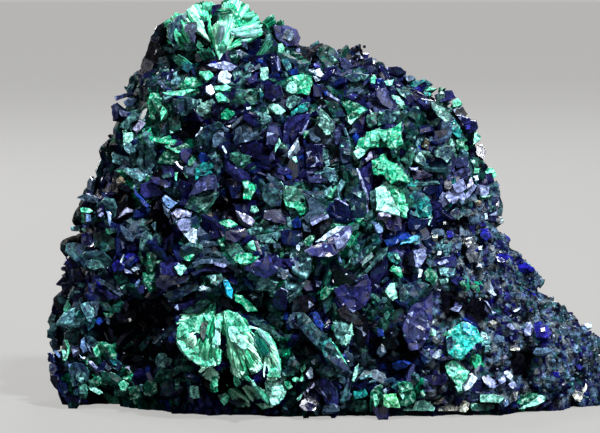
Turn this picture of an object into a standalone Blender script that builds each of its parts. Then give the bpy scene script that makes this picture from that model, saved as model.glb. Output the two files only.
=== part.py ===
"""Azurite specimen: a standing block of intergrown azurite blades with two malachite sprays seated in it.

The azurite mass starts as a loft of rounded sections that follows the specimen's side profiles. Bladed
crystals grow on its front and top, blocky lumps on its back and flanks, and everything is joined in one
solid, cut off flat at the base. Each malachite spray is a fan of flat fibre bundles spreading from one
root, seated in a pocket of the azurite. Lengths are in millimetres until the last step scales to metres.
"""

import math
import random

import bmesh
import bpy
from mathutils import Euler, Matrix, Vector, noise
from mathutils.bvhtree import BVHTree

PART = "azurite_specimen"
MM = 0.001

# Side profiles of the whole specimen, each point (height, x) or (height, y).
LEFT_PROFILE = ((0.0, -31.5), (2.0, -35.0), (4.0, -36.8), (10.0, -38.2), (13.2, -38.1), (16.5, -36.3),
                (19.5, -35.0), (28.5, -34.6), (30.8, -33.0), (33.2, -29.4), (42.0, -29.0), (45.4, -26.2),
                (48.3, -24.6), (52.0, -22.2), (53.6, -20.4), (54.6, -18.6))
RIGHT_PROFILE = ((0.0, 37.8), (4.0, 38.6), (9.0, 38.2), (11.4, 36.4), (12.8, 33.6), (14.7, 31.0),
                 (18.9, 28.6), (21.5, 26.2), (26.0, 24.4), (32.5, 22.8), (36.5, 22.0), (39.0, 20.4),
                 (41.6, 18.4), (43.9, 16.0), (45.6, 12.0), (47.2, 8.0), (49.0, 3.0), (50.2, -2.6),
                 (52.0, -6.0), (53.6, -10.0), (54.6, -12.6))
FRONT_PROFILE = ((0.0, -17.5), (3.0, -19.8), (10.0, -20.8), (20.0, -19.6), (30.0, -16.8), (40.0, -13.6),
                 (47.0, -10.8), (52.0, -7.6), (54.6, -4.8))
BACK_PROFILE = ((0.0, 16.5), (3.0, 18.2), (12.0, 19.0), (22.0, 17.2), (32.0, 14.0), (41.0, 10.8),
                (48.0, 7.4), (52.0, 4.6), (54.6, 2.2))

# The core lies under the crystals, so its sections are drawn in from those profiles.
CRYSTAL_DEPTH = 1.7
SECTION_POWER = 2.5
SECTION_HEIGHTS = (0.0, 2.6, 7.0, 11.0, 14.4, 18.4, 23.0, 27.6, 31.0, 34.6, 39.6, 44.0, 47.2, 50.2, 52.6)
SECTION_POINTS = 28
LUMP_SIZE = 8.0
LUMP_HEIGHT = 1.5

# Relief of the front and back faces: (x, z, radius along x, radius along z, rise; a hollow is negative).
FRONT_RELIEF = (
    (-24.5, 9.5, 5.5, 7.0, -7.0),     # the deep hollow left of the lower spray
    (-13.0, 27.5, 2.8, 3.6, -3.2),    # the two dark pockets under the upper block
    (-22.5, 26.5, 2.8, 3.0, -2.6),
    (-17.0, 20.5, 7.0, 3.0, 2.4),     # the ledge of stacked blades over the hollow
    (-16.5, 41.0, 9.0, 8.0, 2.2),     # the upper block
    (12.5, 38.5, 8.0, 6.0, 1.8),
    (1.0, 23.5, 8.0, 5.0, 1.4),
    (9.0, 12.5, 6.0, 6.0, 2.0),
    (24.0, 17.0, 7.0, 9.0, -2.2),     # the granular flank
    (15.2, 14.0, 2.0, 3.4, -2.6),     # its cavities
    (21.0, 12.0, 3.0, 3.0, -2.4),
    (26.3, 6.5, 1.8, 3.4, -2.2),
)
BACK_RELIEF = (
    (-20.0, 14.0, 8.0, 7.0, 2.0),
    (-6.0, 27.0, 8.0, 6.0, -2.6),
    (10.0, 20.0, 9.0, 7.0, 1.8),
    (21.0, 8.0, 7.0, 5.0, -2.0),
    (-15.0, 42.0, 6.0, 6.0, -1.6),
)

# The front's largest blades: (x, z, length, width, thickness, turn in the picture plane, lean, roll), with
# the angles in degrees. A blade with no lean and no roll lies flat against the front.
FRONT_BLADES = (
    (11.2, 12.6, 9.6, 4.6, 1.5, 82, 10, 20),
    (4.6, 15.3, 6.0, 4.6, 1.4, 70, -5, -18),
    (-0.8, 10.0, 11.6, 3.2, 1.5, -45, 8, 35),
    (0.1, 23.2, 8.0, 2.9, 1.4, 22, 4, 25),
    (5.6, 20.3, 7.6, 3.0, 1.5, -36, 10, 30),
    (-8.4, 19.6, 6.2, 3.6, 1.3, 8, 6, -20),
    (-16.0, 21.6, 8.4, 3.0, 1.2, -4, 2, 55),
    (-19.0, 19.4, 8.6, 3.2, 1.2, -14, 4, 60),
    (-14.6, 17.6, 7.2, 2.8, 1.2, 4, 0, 62),
    (-19.4, 25.2, 5.6, 3.2, 1.5, -58, 16, 10),
    (-21.4, 27.8, 3.6, 2.8, 1.2, -50, 20, 0),
    (-16.6, 30.8, 5.0, 3.0, 1.2, -20, 6, 25),
    (-14.2, 28.8, 4.8, 2.6, 1.1, -12, 4, 30),
    (8.4, 36.4, 7.6, 5.2, 1.6, 38, 12, -12),
    (8.6, 32.8, 5.6, 3.2, 1.3, -30, 14, 10),
    (7.6, 29.0, 4.8, 4.0, 1.3, -64, 8, 12),
    (10.6, 28.4, 4.6, 3.2, 1.3, 78, 6, -12),
    (3.6, 41.4, 4.6, 3.2, 1.4, 60, 12, 10),
    (8.2, 42.4, 4.2, 2.6, 1.1, 48, 8, 10),
    (-12.2, 41.4, 5.8, 3.0, 1.6, -22, 4, 18),
    (-7.6, 29.4, 4.6, 3.6, 1.2, -24, 6, 8),
    (-4.2, 28.6, 4.2, 3.6, 1.3, 20, 8, -12),
    (-1.4, 27.4, 4.6, 4.2, 1.2, 75, 10, 12),
    (13.6, 40.0, 6.8, 4.4, 2.2, 30, 12, 20),
    (18.6, 36.4, 6.6, 4.0, 2.0, 62, 8, -20),
    (14.4, 34.0, 6.4, 3.8, 1.8, 50, 14, 14),
    (17.8, 30.6, 6.8, 3.4, 1.4, 62, 8, 18),
    (18.6, 9.8, 5.8, 3.2, 1.4, 60, 14, 10),
    (18.0, 5.0, 5.2, 3.2, 1.4, 25, 16, 10),
    (-2.4, 3.4, 6.6, 2.8, 1.4, 78, 10, 15),
    (0.8, 3.2, 5.2, 2.8, 1.4, 66, 14, 10),
    (8.8, 2.8, 5.0, 3.4, 1.8, 10, 12, 15),
    (11.8, 20.8, 4.6, 3.8, 1.3, 50, 10, 16),
    (-32.6, 13.2, 5.0, 3.8, 1.5, 70, 12, 10),
    (-31.4, 20.6, 4.8, 3.6, 1.6, 10, 10, 20),
    (-31.0, 27.0, 5.2, 2.8, 1.4, 82, 10, 15),
    (-27.6, 33.4, 4.8, 3.4, 1.3, 30, 14, 12),
    (-25.0, 37.2, 5.4, 3.6, 1.5, 60, 10, 20),
    (-31.6, 4.6, 5.2, 3.6, 1.6, 20, 12, 14),
    (-24.6, 2.8, 5.2, 3.2, 1.6, 8, 14, 20),
)

# The crystals that cover the rest: how many, their closest spacing and length range, and their width and
# thickness as shares of the length.
BLADE_GROWTH = (92, 4.2, (6.4, 9.0), 0.62, 0.28)
LUMP_GROWTH = (88, 5.2, (5.6, 8.2), 0.84, 0.60)
SUNK = 0.16
LEANS_OUT = (0.1, 0.75)
MOST_ROLL = 1.1
# Crystals near the crest are smaller, and none starts right at the flat base.
CREST_HEIGHT = 45.0
CREST_SHRINK = 0.66
LOWEST_CRYSTAL = 1.2
MOST_TRIES = 6000

# Malachite sprays: root point, mean direction, half-angles of the fan across and along it, reach.
CROWN_SPRAY = {
    "root": (-14.4, -3.0, 43.6),
    "forward": (0.0, -0.30, 1.0),
    "across": (1.0, 0.0, 0.0),
    "spread": (46, 26),
    "reach": (11.0, 13.2),
    "bundles": 14,
    "bundle_width": 4.4,
    "bundle_thickness": 2.0,
    "heart": 4.8,
    "seed": 11,
}
LOWER_SPRAY = {
    "root": (-12.6, -13.4, 13.8),
    "forward": (0.06, -0.80, -0.66),
    "across": (1.0, 0.0, 0.0),
    "spread": (58, 34),
    "reach": (11.0, 14.6),
    "bundles": 18,
    "bundle_width": 5.0,
    "bundle_thickness": 2.2,
    "heart": 5.2,
    "seed": 23,
}
GAP = 0.3
SEED = 5


def clear_scene():
    for old in list(bpy.data.objects):
        bpy.data.objects.remove(old, do_unlink=True)


def collection(name):
    made = bpy.data.collections.new(name)
    bpy.context.scene.collection.children.link(made)
    return made


def new_object(name, bm, home):
    mesh = bpy.data.meshes.new(name)
    bm.to_mesh(mesh)
    bm.free()
    made = bpy.data.objects.new(name, mesh)
    home.objects.link(made)
    return made


def material(name, colour, roughness):
    made = bpy.data.materials.new(name)
    made.use_nodes = True
    surface = made.node_tree.nodes["Principled BSDF"]
    surface.inputs["Base Color"].default_value = (*colour, 1.0)
    surface.inputs["Roughness"].default_value = roughness
    surface.inputs["Metallic"].default_value = 0.0
    return made


def read_profile(profile, height):
    """The profile's value at a height, straight between its points."""
    for (low, low_value), (high, high_value) in zip(profile, profile[1:]):
        if height <= high:
            share = (height - low) / (high - low)
            return low_value + (high_value - low_value) * max(0.0, share)
    return profile[-1][1]


def relief(features, x, z):
    """The rise of the face at (x, z), a sum of smooth bumps and hollows."""
    rise = 0.0
    for centre_x, centre_z, radius_x, radius_z, height in features:
        away = ((x - centre_x) / radius_x) ** 2 + ((z - centre_z) / radius_z) ** 2
        rise += height * math.exp(-away)
    return rise


def section_point(height, turn):
    """One point of the core's rounded section at a height. Turn 0 is +X, a quarter turn is the back."""
    left = read_profile(LEFT_PROFILE, height) + CRYSTAL_DEPTH
    right = read_profile(RIGHT_PROFILE, height) - CRYSTAL_DEPTH
    front = read_profile(FRONT_PROFILE, height) + CRYSTAL_DEPTH
    back = read_profile(BACK_PROFILE, height) - CRYSTAL_DEPTH
    cosine = math.cos(turn)
    sine = math.sin(turn)
    bulge_x = math.copysign(abs(cosine) ** (2 / SECTION_POWER), cosine)
    bulge_y = math.copysign(abs(sine) ** (2 / SECTION_POWER), sine)
    x = (left + right) / 2 + bulge_x * (right - left) / 2
    y = bulge_y * back if sine > 0 else -bulge_y * front
    if sine < 0:
        y -= relief(FRONT_RELIEF, x, height) * abs(bulge_y)
    else:
        y += relief(BACK_RELIEF, x, height) * abs(bulge_y)
    out = Vector((bulge_x, bulge_y, 0.0)).normalized()
    lump = noise.noise(Vector((x, y, height)) / LUMP_SIZE) * LUMP_HEIGHT
    return Vector((x, y, height)) + out * lump


def build_core():
    """The loft between the sections, closed by a flat base and a small top."""
    bm = bmesh.new()
    rings = []
    for height in SECTION_HEIGHTS:
        turns = (2 * math.pi * step / SECTION_POINTS for step in range(SECTION_POINTS))
        rings.append([bm.verts.new(section_point(height, turn)) for turn in turns])
    for lower, upper in zip(rings, rings[1:]):
        for step in range(SECTION_POINTS):
            after = (step + 1) % SECTION_POINTS
            bm.faces.new((lower[step], lower[after], upper[after], upper[step]))
    bm.faces.new(list(reversed(rings[0])))
    bm.faces.new(rings[-1])
    bmesh.ops.triangulate(bm, faces=bm.faces)
    bmesh.ops.recalc_face_normals(bm, faces=bm.faces)
    return bm


def blade_shape(sides, rim):
    """A tabular crystal of unit size: a prism whose two faces are drawn in to leave a bevelled rim."""
    bm = bmesh.new()
    bmesh.ops.create_cone(bm, cap_ends=True, segments=sides, radius1=0.5, radius2=0.5, depth=1.0)
    upright = [edge for edge in bm.edges if abs(edge.verts[0].co.z - edge.verts[1].co.z) > 0.5]
    bmesh.ops.subdivide_edges(bm, edges=upright, cuts=1)
    for v in bm.verts:
        if abs(v.co.z) > 0.25:
            v.co.x *= rim
            v.co.y *= rim
    return unit_shape(bm)


def lump_shape(sides, rim):
    """A blocky crystal of unit size, drawn in on its outer face alone."""
    bm = bmesh.new()
    bmesh.ops.create_cone(bm, cap_ends=True, segments=sides, radius1=0.5, radius2=0.5 * rim, depth=1.0)
    return unit_shape(bm)


def unit_shape(bm):
    mesh = bpy.data.meshes.new("crystal_shape")
    bm.to_mesh(mesh)
    bm.free()
    return mesh


def add_crystal(bm, shape, place, size):
    """Adds a copy of the shape, its long axis along the place's X and its broad faces across Z."""
    start = len(bm.verts)
    bm.from_mesh(shape)
    added = list(bm.verts)[start:]
    bmesh.ops.transform(bm, matrix=place @ Matrix.Diagonal((*size, 1.0)), verts=added)


def blade_frame(point, long_axis, face_axis):
    """A placing matrix whose X runs along the crystal and whose Z is its broad face's normal."""
    along = long_axis.normalized()
    face = (face_axis - along * face_axis.dot(along)).normalized()
    side = face.cross(along)
    turned = Matrix((along, side, face)).transposed().to_4x4()
    return Matrix.Translation(point) @ turned


def front_point(tree, x, z):
    hit, normal, _, _ = tree.ray_cast(Vector((x, -100.0, z)), Vector((0, 1, 0)))
    return hit, normal


def place_front_blades(bm, tree, shapes, rng):
    """The large blades of the front, each sunk a little into the face where it stands."""
    centres = []
    for x, z, length, width, thickness, turn, lean, roll in FRONT_BLADES:
        hit, normal = front_point(tree, x, z)
        along = Euler((0, -math.radians(turn), 0)).to_matrix() @ Vector((1, 0, 0))
        face = Vector((0, -1, 0)).lerp(normal, 0.5).normalized()
        face = Matrix.Rotation(math.radians(roll), 3, along) @ face
        along = along + Vector((0, -math.sin(math.radians(lean)), 0))
        point = hit + normal * thickness * 0.35
        add_crystal(bm, rng.choice(shapes), blade_frame(point, along, face), (length, width, thickness))
        centres.append(hit)
    return centres


def on_front(normal, point):
    return normal.y < -0.15 and point.x < 19.0 or normal.z > 0.6 and point.y < 4.0


def in_spray(point):
    """Whether a point lies in a spray's own room, which the azurite crystals leave free."""
    for spray in (CROWN_SPRAY, LOWER_SPRAY):
        heart = Vector(spray["root"]) + Vector(spray["forward"]).normalized() * spray["heart"]
        if (point - heart).length < spray["reach"][0] * 0.72:
            return True
    return False


def scatter(bm, surface, growth, taken, wanted, shapes, rng):
    """Crystals at seeded random places on the core, no two closer than the spacing."""
    count, spacing, lengths, width_share, thickness_share = growth
    faces = list(surface.faces)
    weights = [face.calc_area() for face in faces]
    placed = 0
    for _ in range(MOST_TRIES):
        if placed == count:
            break
        face = rng.choices(faces, weights)[0]
        corner = [v.co for v in face.verts]
        a, b = sorted((rng.random(), rng.random()))
        point = corner[0] * a + corner[1] * (b - a) + corner[2] * (1 - b)
        normal = face.normal
        if point.z < LOWEST_CRYSTAL or normal.z < -0.7 or in_spray(point) or not wanted(normal, point):
            continue
        if any((point - other).length < spacing for other in taken):
            continue
        taken.append(point)
        placed += 1
        length = rng.uniform(*lengths)
        if point.z > CREST_HEIGHT:
            length *= CREST_SHRINK
        tangent = normal.orthogonal().normalized()
        tangent = Matrix.Rotation(rng.uniform(0, 2 * math.pi), 3, normal) @ tangent
        along = (tangent + normal * rng.uniform(*LEANS_OUT)).normalized()
        facing = Matrix.Rotation(rng.uniform(-MOST_ROLL, MOST_ROLL), 3, along) @ normal
        size = (length, length * width_share * rng.uniform(0.85, 1.15), length * thickness_share)
        centre = point - normal * length * SUNK + along * length * 0.22
        add_crystal(bm, rng.choice(shapes), blade_frame(centre, along, facing), size)


def add_bundle(bm, root, direction, side, length, width, thickness):
    """A fibre bundle: a flat six-sided bar that widens from the root to a blunt, chisel-cut end."""
    across = side - direction * side.dot(direction)
    frame = blade_frame(root, across, direction)
    shape = Matrix.Diagonal((width / 2, thickness / 2, length, 1.0))
    made = bmesh.ops.create_cone(bm, cap_ends=True, segments=6, radius1=0.3, radius2=1.0, depth=1.0,
                                 matrix=frame @ shape @ Matrix.Translation((0, 0, 0.5)))
    tip = frame.inverted()
    for v in made["verts"]:
        local = tip @ v.co
        if local.z > length / 2:
            v.co = v.co - direction.normalized() * abs(local.x) * 0.35


def build_spray(spray):
    """Fibre bundles fanned out from the root over a rounded heart, all meeting at the root."""
    rng = random.Random(spray["seed"])
    bm = bmesh.new()
    root = Vector(spray["root"])
    forward = Vector(spray["forward"]).normalized()
    across = Vector(spray["across"]).normalized()
    other = forward.cross(across)
    wide, narrow = (math.radians(angle) for angle in spray["spread"])
    heart = spray["heart"]
    bmesh.ops.create_icosphere(bm, subdivisions=1, radius=heart * 0.85,
                               matrix=Matrix.Translation(root + forward * heart * 0.55))
    for step in range(spray["bundles"]):
        radius = math.sqrt((step + 0.5) / spray["bundles"])
        turn = step * math.pi * (3 - math.sqrt(5))
        tilt_wide = wide * radius * math.cos(turn)
        tilt_narrow = narrow * radius * math.sin(turn)
        direction = forward + across * math.tan(tilt_wide) + other * math.tan(tilt_narrow)
        direction.normalize()
        side = Matrix.Rotation(rng.uniform(-0.5, 0.5), 3, direction) @ across
        length = rng.uniform(*spray["reach"]) * (1.0 - 0.14 * radius)
        add_bundle(bm, root, direction, side, length,
                   spray["bundle_width"] * rng.uniform(0.8, 1.2),
                   spray["bundle_thickness"] * rng.uniform(0.8, 1.2))
    return bm


def add_boolean(target, cutter, operation, crossing=False):
    """A Boolean with a helper, which is drawn as wire; crossing says that its pieces cut each other."""
    cutter.hide_render = True
    cutter.display_type = "WIRE"
    step = target.modifiers.new(operation.lower(), "BOOLEAN")
    step.operation = operation
    step.object = cutter
    step.solver = "EXACT"
    step.use_self = crossing


def below_base(home):
    """A block that fills everything under the flat base."""
    bm = bmesh.new()
    bmesh.ops.create_cube(bm, size=1.0, matrix=Matrix.Translation((0, 0, -10.0))
                          @ Matrix.Diagonal((120.0, 120.0, 20.0, 1.0)))
    return new_object("base_cut", bm, home)


def pocket(spray, home):
    """The room of a spray: its hull, grown on every side by the gap."""
    bm = bmesh.new()
    bm.from_mesh(spray.data)
    hull = bmesh.ops.convex_hull(bm, input=bm.verts)
    inside = [v for v in hull["geom_interior"] if isinstance(v, bmesh.types.BMVert)]
    bmesh.ops.delete(bm, geom=inside, context="VERTS")
    bmesh.ops.delete(bm, geom=[f for f in bm.faces if f not in set(hull["geom"])], context="FACES")
    bmesh.ops.recalc_face_normals(bm, faces=bm.faces)
    bm.normal_update()
    grown = [(v, v.co + v.normal * GAP * 1.8) for v in bm.verts]
    for v, place in grown:
        v.co = place
    return new_object(spray.name + "_pocket", bm, home)


def keep_outer_body(bm):
    """Deletes the closed-off pieces inside the solid and any crumb that a cut has left loose."""
    unseen = set(bm.verts)
    bodies = []
    while unseen:
        body = set()
        front = [unseen.pop()]
        while front:
            v = front.pop()
            body.add(v)
            for edge in v.link_edges:
                neighbour = edge.other_vert(v)
                if neighbour in unseen:
                    unseen.discard(neighbour)
                    front.append(neighbour)
        bodies.append(body)
    bodies.sort(key=len)
    for body in bodies[:-1]:
        bmesh.ops.delete(bm, geom=list(body), context="VERTS")


def bake(target):
    """Replaces the object's mesh by its evaluated mesh, as one closed body of triangles."""
    scene_graph = bpy.context.evaluated_depsgraph_get()
    bm = bmesh.new()
    bm.from_mesh(target.evaluated_get(scene_graph).to_mesh())
    target.modifiers.clear()
    keep_outer_body(bm)
    bmesh.ops.dissolve_verts(bm, verts=[v for v in bm.verts if len(v.link_edges) == 2])
    bmesh.ops.triangulate(bm, faces=bm.faces)
    bm.to_mesh(target.data)
    bm.free()


def stand_at_origin(nodes):
    """Puts the middle of the base at the origin and turns millimetres into metres."""
    corners = [v.co for node in nodes for v in node.data.vertices]
    middle_x, middle_y = ((max(c[axis] for c in corners) + min(c[axis] for c in corners)) / 2
                          for axis in (0, 1))
    move = Matrix.Scale(MM, 4) @ Matrix.Translation((-middle_x, -middle_y, 0.0))
    for node in nodes:
        node.data.transform(move)


def main():
    clear_scene()
    parts = collection(PART)
    helpers = collection("helpers")

    core = build_core()
    tree = BVHTree.FromBMesh(core)
    crystals = bmesh.new()
    rng = random.Random(SEED)
    blades = [blade_shape(sides, rim) for sides, rim in ((6, 0.72), (5, 0.66), (6, 0.80))]
    lumps = [lump_shape(sides, rim) for sides, rim in ((6, 0.64), (5, 0.58), (5, 0.72))]
    taken = place_front_blades(crystals, tree, blades, rng)
    scatter(crystals, core, BLADE_GROWTH, taken, on_front, lumps, rng)
    scatter(crystals, core, LUMP_GROWTH, taken, lambda n, p: not on_front(n, p), lumps, rng)
    cluster = new_object("azurite_cluster", core, parts)
    grown = new_object("crystals", crystals, helpers)
    base_cut = below_base(helpers)
    add_boolean(cluster, grown, "UNION", crossing=True)

    sprays = []
    for name, spray in (("malachite_spray_crown", CROWN_SPRAY), ("malachite_spray_lower", LOWER_SPRAY)):
        made = new_object(name, build_spray(spray), parts)
        add_boolean(made, base_cut, "DIFFERENCE", crossing=True)
        sprays.append(made)
    for made in sprays:
        add_boolean(cluster, pocket(made, helpers), "DIFFERENCE")
    add_boolean(cluster, base_cut, "DIFFERENCE")

    bpy.context.view_layer.update()
    nodes = [cluster, *sprays]
    for node in nodes:
        bake(node)
    stand_at_origin(nodes)
    cluster.data.materials.append(material("azurite", (0.03, 0.045, 0.16), 0.22))
    for made in sprays:
        made.data.materials.append(material(made.name, (0.08, 0.50, 0.34), 0.45))


main()
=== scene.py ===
"""Looks of the azurite specimen: azurite blades, green-altered blades, druse and malachite sprays, grown on a
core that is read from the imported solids.

Lengths are in millimetres (MM turns them into metres) and every crystal is a real closed mesh. The crystals
that can be told apart in the photograph are placed by their pixel: a ray from the camera through that pixel
finds the core, and the crystal is rooted there. The rest are grown by seeded rules, with their kind and
colour set by the zone of the specimen that they stand in.
"""

import math

import bmesh
import bpy
import numpy as np
from mathutils import Matrix, Vector, geometry, noise
from mathutils.bvhtree import BVHTree


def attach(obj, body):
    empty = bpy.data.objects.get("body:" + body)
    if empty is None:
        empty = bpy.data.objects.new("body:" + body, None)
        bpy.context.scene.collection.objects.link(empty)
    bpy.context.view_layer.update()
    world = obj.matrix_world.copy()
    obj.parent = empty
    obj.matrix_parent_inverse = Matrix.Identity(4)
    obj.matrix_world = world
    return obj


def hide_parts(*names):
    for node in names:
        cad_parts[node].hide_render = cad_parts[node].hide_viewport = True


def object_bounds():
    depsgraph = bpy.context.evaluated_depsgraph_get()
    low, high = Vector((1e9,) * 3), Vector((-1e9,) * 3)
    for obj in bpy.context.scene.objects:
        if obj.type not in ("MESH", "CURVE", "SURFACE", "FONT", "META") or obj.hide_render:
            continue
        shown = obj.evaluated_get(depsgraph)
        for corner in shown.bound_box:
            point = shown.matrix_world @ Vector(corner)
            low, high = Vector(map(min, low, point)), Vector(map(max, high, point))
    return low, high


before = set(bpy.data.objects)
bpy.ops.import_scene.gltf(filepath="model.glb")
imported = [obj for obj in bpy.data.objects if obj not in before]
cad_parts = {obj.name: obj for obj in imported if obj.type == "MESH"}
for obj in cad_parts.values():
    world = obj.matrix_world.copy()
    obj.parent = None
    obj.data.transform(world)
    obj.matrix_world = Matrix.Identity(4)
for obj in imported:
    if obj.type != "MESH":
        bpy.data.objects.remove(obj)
CAD_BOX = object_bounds()

MM = 0.001
CAD_LOW, CAD_HIGH = (np.array(corner) / MM for corner in CAD_BOX)
SEED = 7
noise.seed_set(SEED)              # noise_vector follows the clock without it

# The photograph's frame, and the view that matches it.
PHOTO_WIDTH = 600
PHOTO_HEIGHT = 433
MM_PER_PIXEL = 0.135
ZERO_PIXEL = (329.2, 413.0)       # the pixel of x = 0, z = 0 on the front face
FACE_DEPTH = -10.0                # the depth where that scale holds
CAMERA_DISTANCE = 420.0
CAMERA_ELEVATION = math.radians(5.0)
SENSOR_WIDTH = 36.0
CLIP = (0.01, 20.0)               # metres


# ---------------------------------------------------------------------------------------------- camera

class Eye:
    """The camera's place and axes, for going from pixels to rays and back."""

    def __init__(self):
        aim_x = (PHOTO_WIDTH / 2 - ZERO_PIXEL[0]) * MM_PER_PIXEL
        aim_z = (ZERO_PIXEL[1] - PHOTO_HEIGHT / 2) * MM_PER_PIXEL
        self.aim = Vector((aim_x, FACE_DEPTH, aim_z))
        self.forward = Vector((0.0, math.cos(CAMERA_ELEVATION), -math.sin(CAMERA_ELEVATION)))
        self.right = Vector((1.0, 0.0, 0.0))
        self.up = self.right.cross(self.forward)
        self.place = self.aim - self.forward * CAMERA_DISTANCE
        self.focal = CAMERA_DISTANCE / MM_PER_PIXEL

    def ray(self, x, y):
        """The direction of the ray through a pixel of the photograph."""
        across = (x - PHOTO_WIDTH / 2) / self.focal
        down = (y - PHOTO_HEIGHT / 2) / self.focal
        return (self.forward + self.right * across - self.up * down).normalized()

    def pixels(self, points):
        """The pixels of an array of points."""
        away = points - np.array(self.place)
        depth = away @ np.array(self.forward)
        x = PHOTO_WIDTH / 2 + (away @ np.array(self.right)) / depth * self.focal
        y = PHOTO_HEIGHT / 2 - (away @ np.array(self.up)) / depth * self.focal
        return np.stack((x, y), axis=1)

    def toward(self, normals):
        """How far each normal turns to the camera: 1 if it faces it, -1 if it faces away."""
        return normals @ -np.array(self.forward)

    def depth(self, point):
        """How deep a point lies along the view."""
        return (point - self.place).dot(self.forward)

    def make_camera(self):
        data = bpy.data.cameras.new("camera")
        data.sensor_width = SENSOR_WIDTH
        data.lens = SENSOR_WIDTH * self.focal / PHOTO_WIDTH
        data.clip_start, data.clip_end = CLIP
        camera = bpy.data.objects.new("camera", data)
        bpy.context.scene.collection.objects.link(camera)
        turned = Matrix((self.right, self.up, -self.forward)).transposed().to_4x4()
        camera.matrix_world = Matrix.Translation(self.place * MM) @ turned
        bpy.context.scene.camera = camera


eye = Eye()
eye.make_camera()


# ------------------------------------------------------------------------------------------- materials
# Scales of noise are per metre, and bump distances in metres.

WIDE = 0.25                       # how far from the middle the noise is followed: broad, and for small features
TIGHT = 0.18
GLOSS_RANGE = (0.3, 0.7)          # the noise that the roughness follows


def new_material(name):
    made = bpy.data.materials.new(name)
    made.use_nodes = True
    tree = made.node_tree
    return made, tree, tree.nodes["Principled BSDF"]


def add_node(tree, kind, **settings):
    node = tree.nodes.new(kind)
    for key, value in settings.items():
        if key in node.inputs.keys():
            node.inputs[key].default_value = value
        else:
            setattr(node, key, value)
    return node


def attribute(tree, name):
    return add_node(tree, "ShaderNodeAttribute", attribute_name=name)


def noise_node(tree, vector, scale, detail=3.0, roughness=0.55):
    node = add_node(tree, "ShaderNodeTexNoise", Scale=scale, Detail=detail, Roughness=roughness)
    tree.links.new(vector, node.inputs["Vector"])
    return node.outputs["Fac"]


def stretched(tree, vector, scale):
    node = add_node(tree, "ShaderNodeVectorMath", operation="MULTIPLY")
    tree.links.new(vector, node.inputs[0])
    node.inputs[1].default_value = scale
    return node.outputs["Vector"]


def remap(tree, value, low, high, to_low, to_high):
    node = tree.nodes.new("ShaderNodeMapRange")
    tree.links.new(value, node.inputs["Value"])
    for name, number in (("From Min", low), ("From Max", high), ("To Min", to_low), ("To Max", to_high)):
        node.inputs[name].default_value = number
    return node.outputs["Result"]


def mixed(tree, share, first, second, blend="MIX"):
    """A colour mix; a share or colour may be a socket or a value."""
    node = add_node(tree, "ShaderNodeMix", data_type="RGBA", blend_type=blend)
    for place, value in ((0, share), (6, first), (7, second)):
        if isinstance(value, bpy.types.NodeSocket):
            tree.links.new(value, node.inputs[place])
        else:
            node.inputs[place].default_value = value
    return node.outputs[2]


def multiplied(tree, first, second):
    return mixed(tree, 1.0, first, second, "MULTIPLY")


def mottled(tree, colour, value, low, high, spread=WIDE):
    """A colour multiplied by a grey that follows a value of noise."""
    level = remap(tree, value, 0.5 - spread, 0.5 + spread, low, high)
    node = tree.nodes.new("ShaderNodeCombineColor")
    for name in ("Red", "Green", "Blue"):
        tree.links.new(level, node.inputs[name])
    return multiplied(tree, colour, node.outputs["Color"])


def finish_surface(tree, surface, colour, gloss, roughness, specular, bumps):
    """Colour, roughness that follows a value of noise, and bumps: (height socket, strength, distance)."""
    tree.links.new(colour, surface.inputs["Base Color"])
    tree.links.new(remap(tree, gloss, *GLOSS_RANGE, *roughness), surface.inputs["Roughness"])
    surface.inputs["Specular IOR Level"].default_value = specular
    last = None
    for height, strength, distance in bumps:
        node = add_node(tree, "ShaderNodeBump", Strength=strength, Distance=distance)
        tree.links.new(height, node.inputs["Height"])
        if last:
            tree.links.new(last, node.inputs["Normal"])
        last = node.outputs["Normal"]
    tree.links.new(last, surface.inputs["Normal"])


def face_inputs(tree):
    """What each crystal's shader reads: its tint, its own grain, and the place on the specimen."""
    shade = attribute(tree, "shade").outputs["Color"]
    grain = attribute(tree, "grain").outputs["Vector"]
    position = add_node(tree, "ShaderNodeNewGeometry").outputs["Position"]
    return shade, grain, position


def azurite_material():
    """Glassy deep blue with growth striations along each blade and a faint dull bloom."""
    made, tree, surface = new_material("azurite")
    shade, grain, position = face_inputs(tree)
    lines = noise_node(tree, stretched(tree, grain, (0.5, 6.0, 6.0)), 1.0, 4.0, 0.6)
    clouds = noise_node(tree, position, 1400.0, 4.0, 0.6)
    fine = noise_node(tree, position, 3600.0, 3.0, 0.6)
    bloom = remap(tree, noise_node(tree, position, 520.0, 5.0, 0.65), 0.52, 0.68, 0.0, 0.40)
    toned = mottled(tree, shade, lines, 0.55, 1.45)
    toned = mottled(tree, toned, clouds, 0.25, 1.85, TIGHT)
    toned = mottled(tree, toned, fine, 0.40, 1.70, TIGHT)
    toned = mixed(tree, bloom, toned, (0.010, 0.034, 0.048, 1.0))
    surface.inputs["IOR"].default_value = 1.6
    finish_surface(tree, surface, toned, clouds, (0.12, 0.34), 0.18,
                   ((lines, 0.35, 0.00006), (clouds, 0.30, 0.00008)))
    return made


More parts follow.
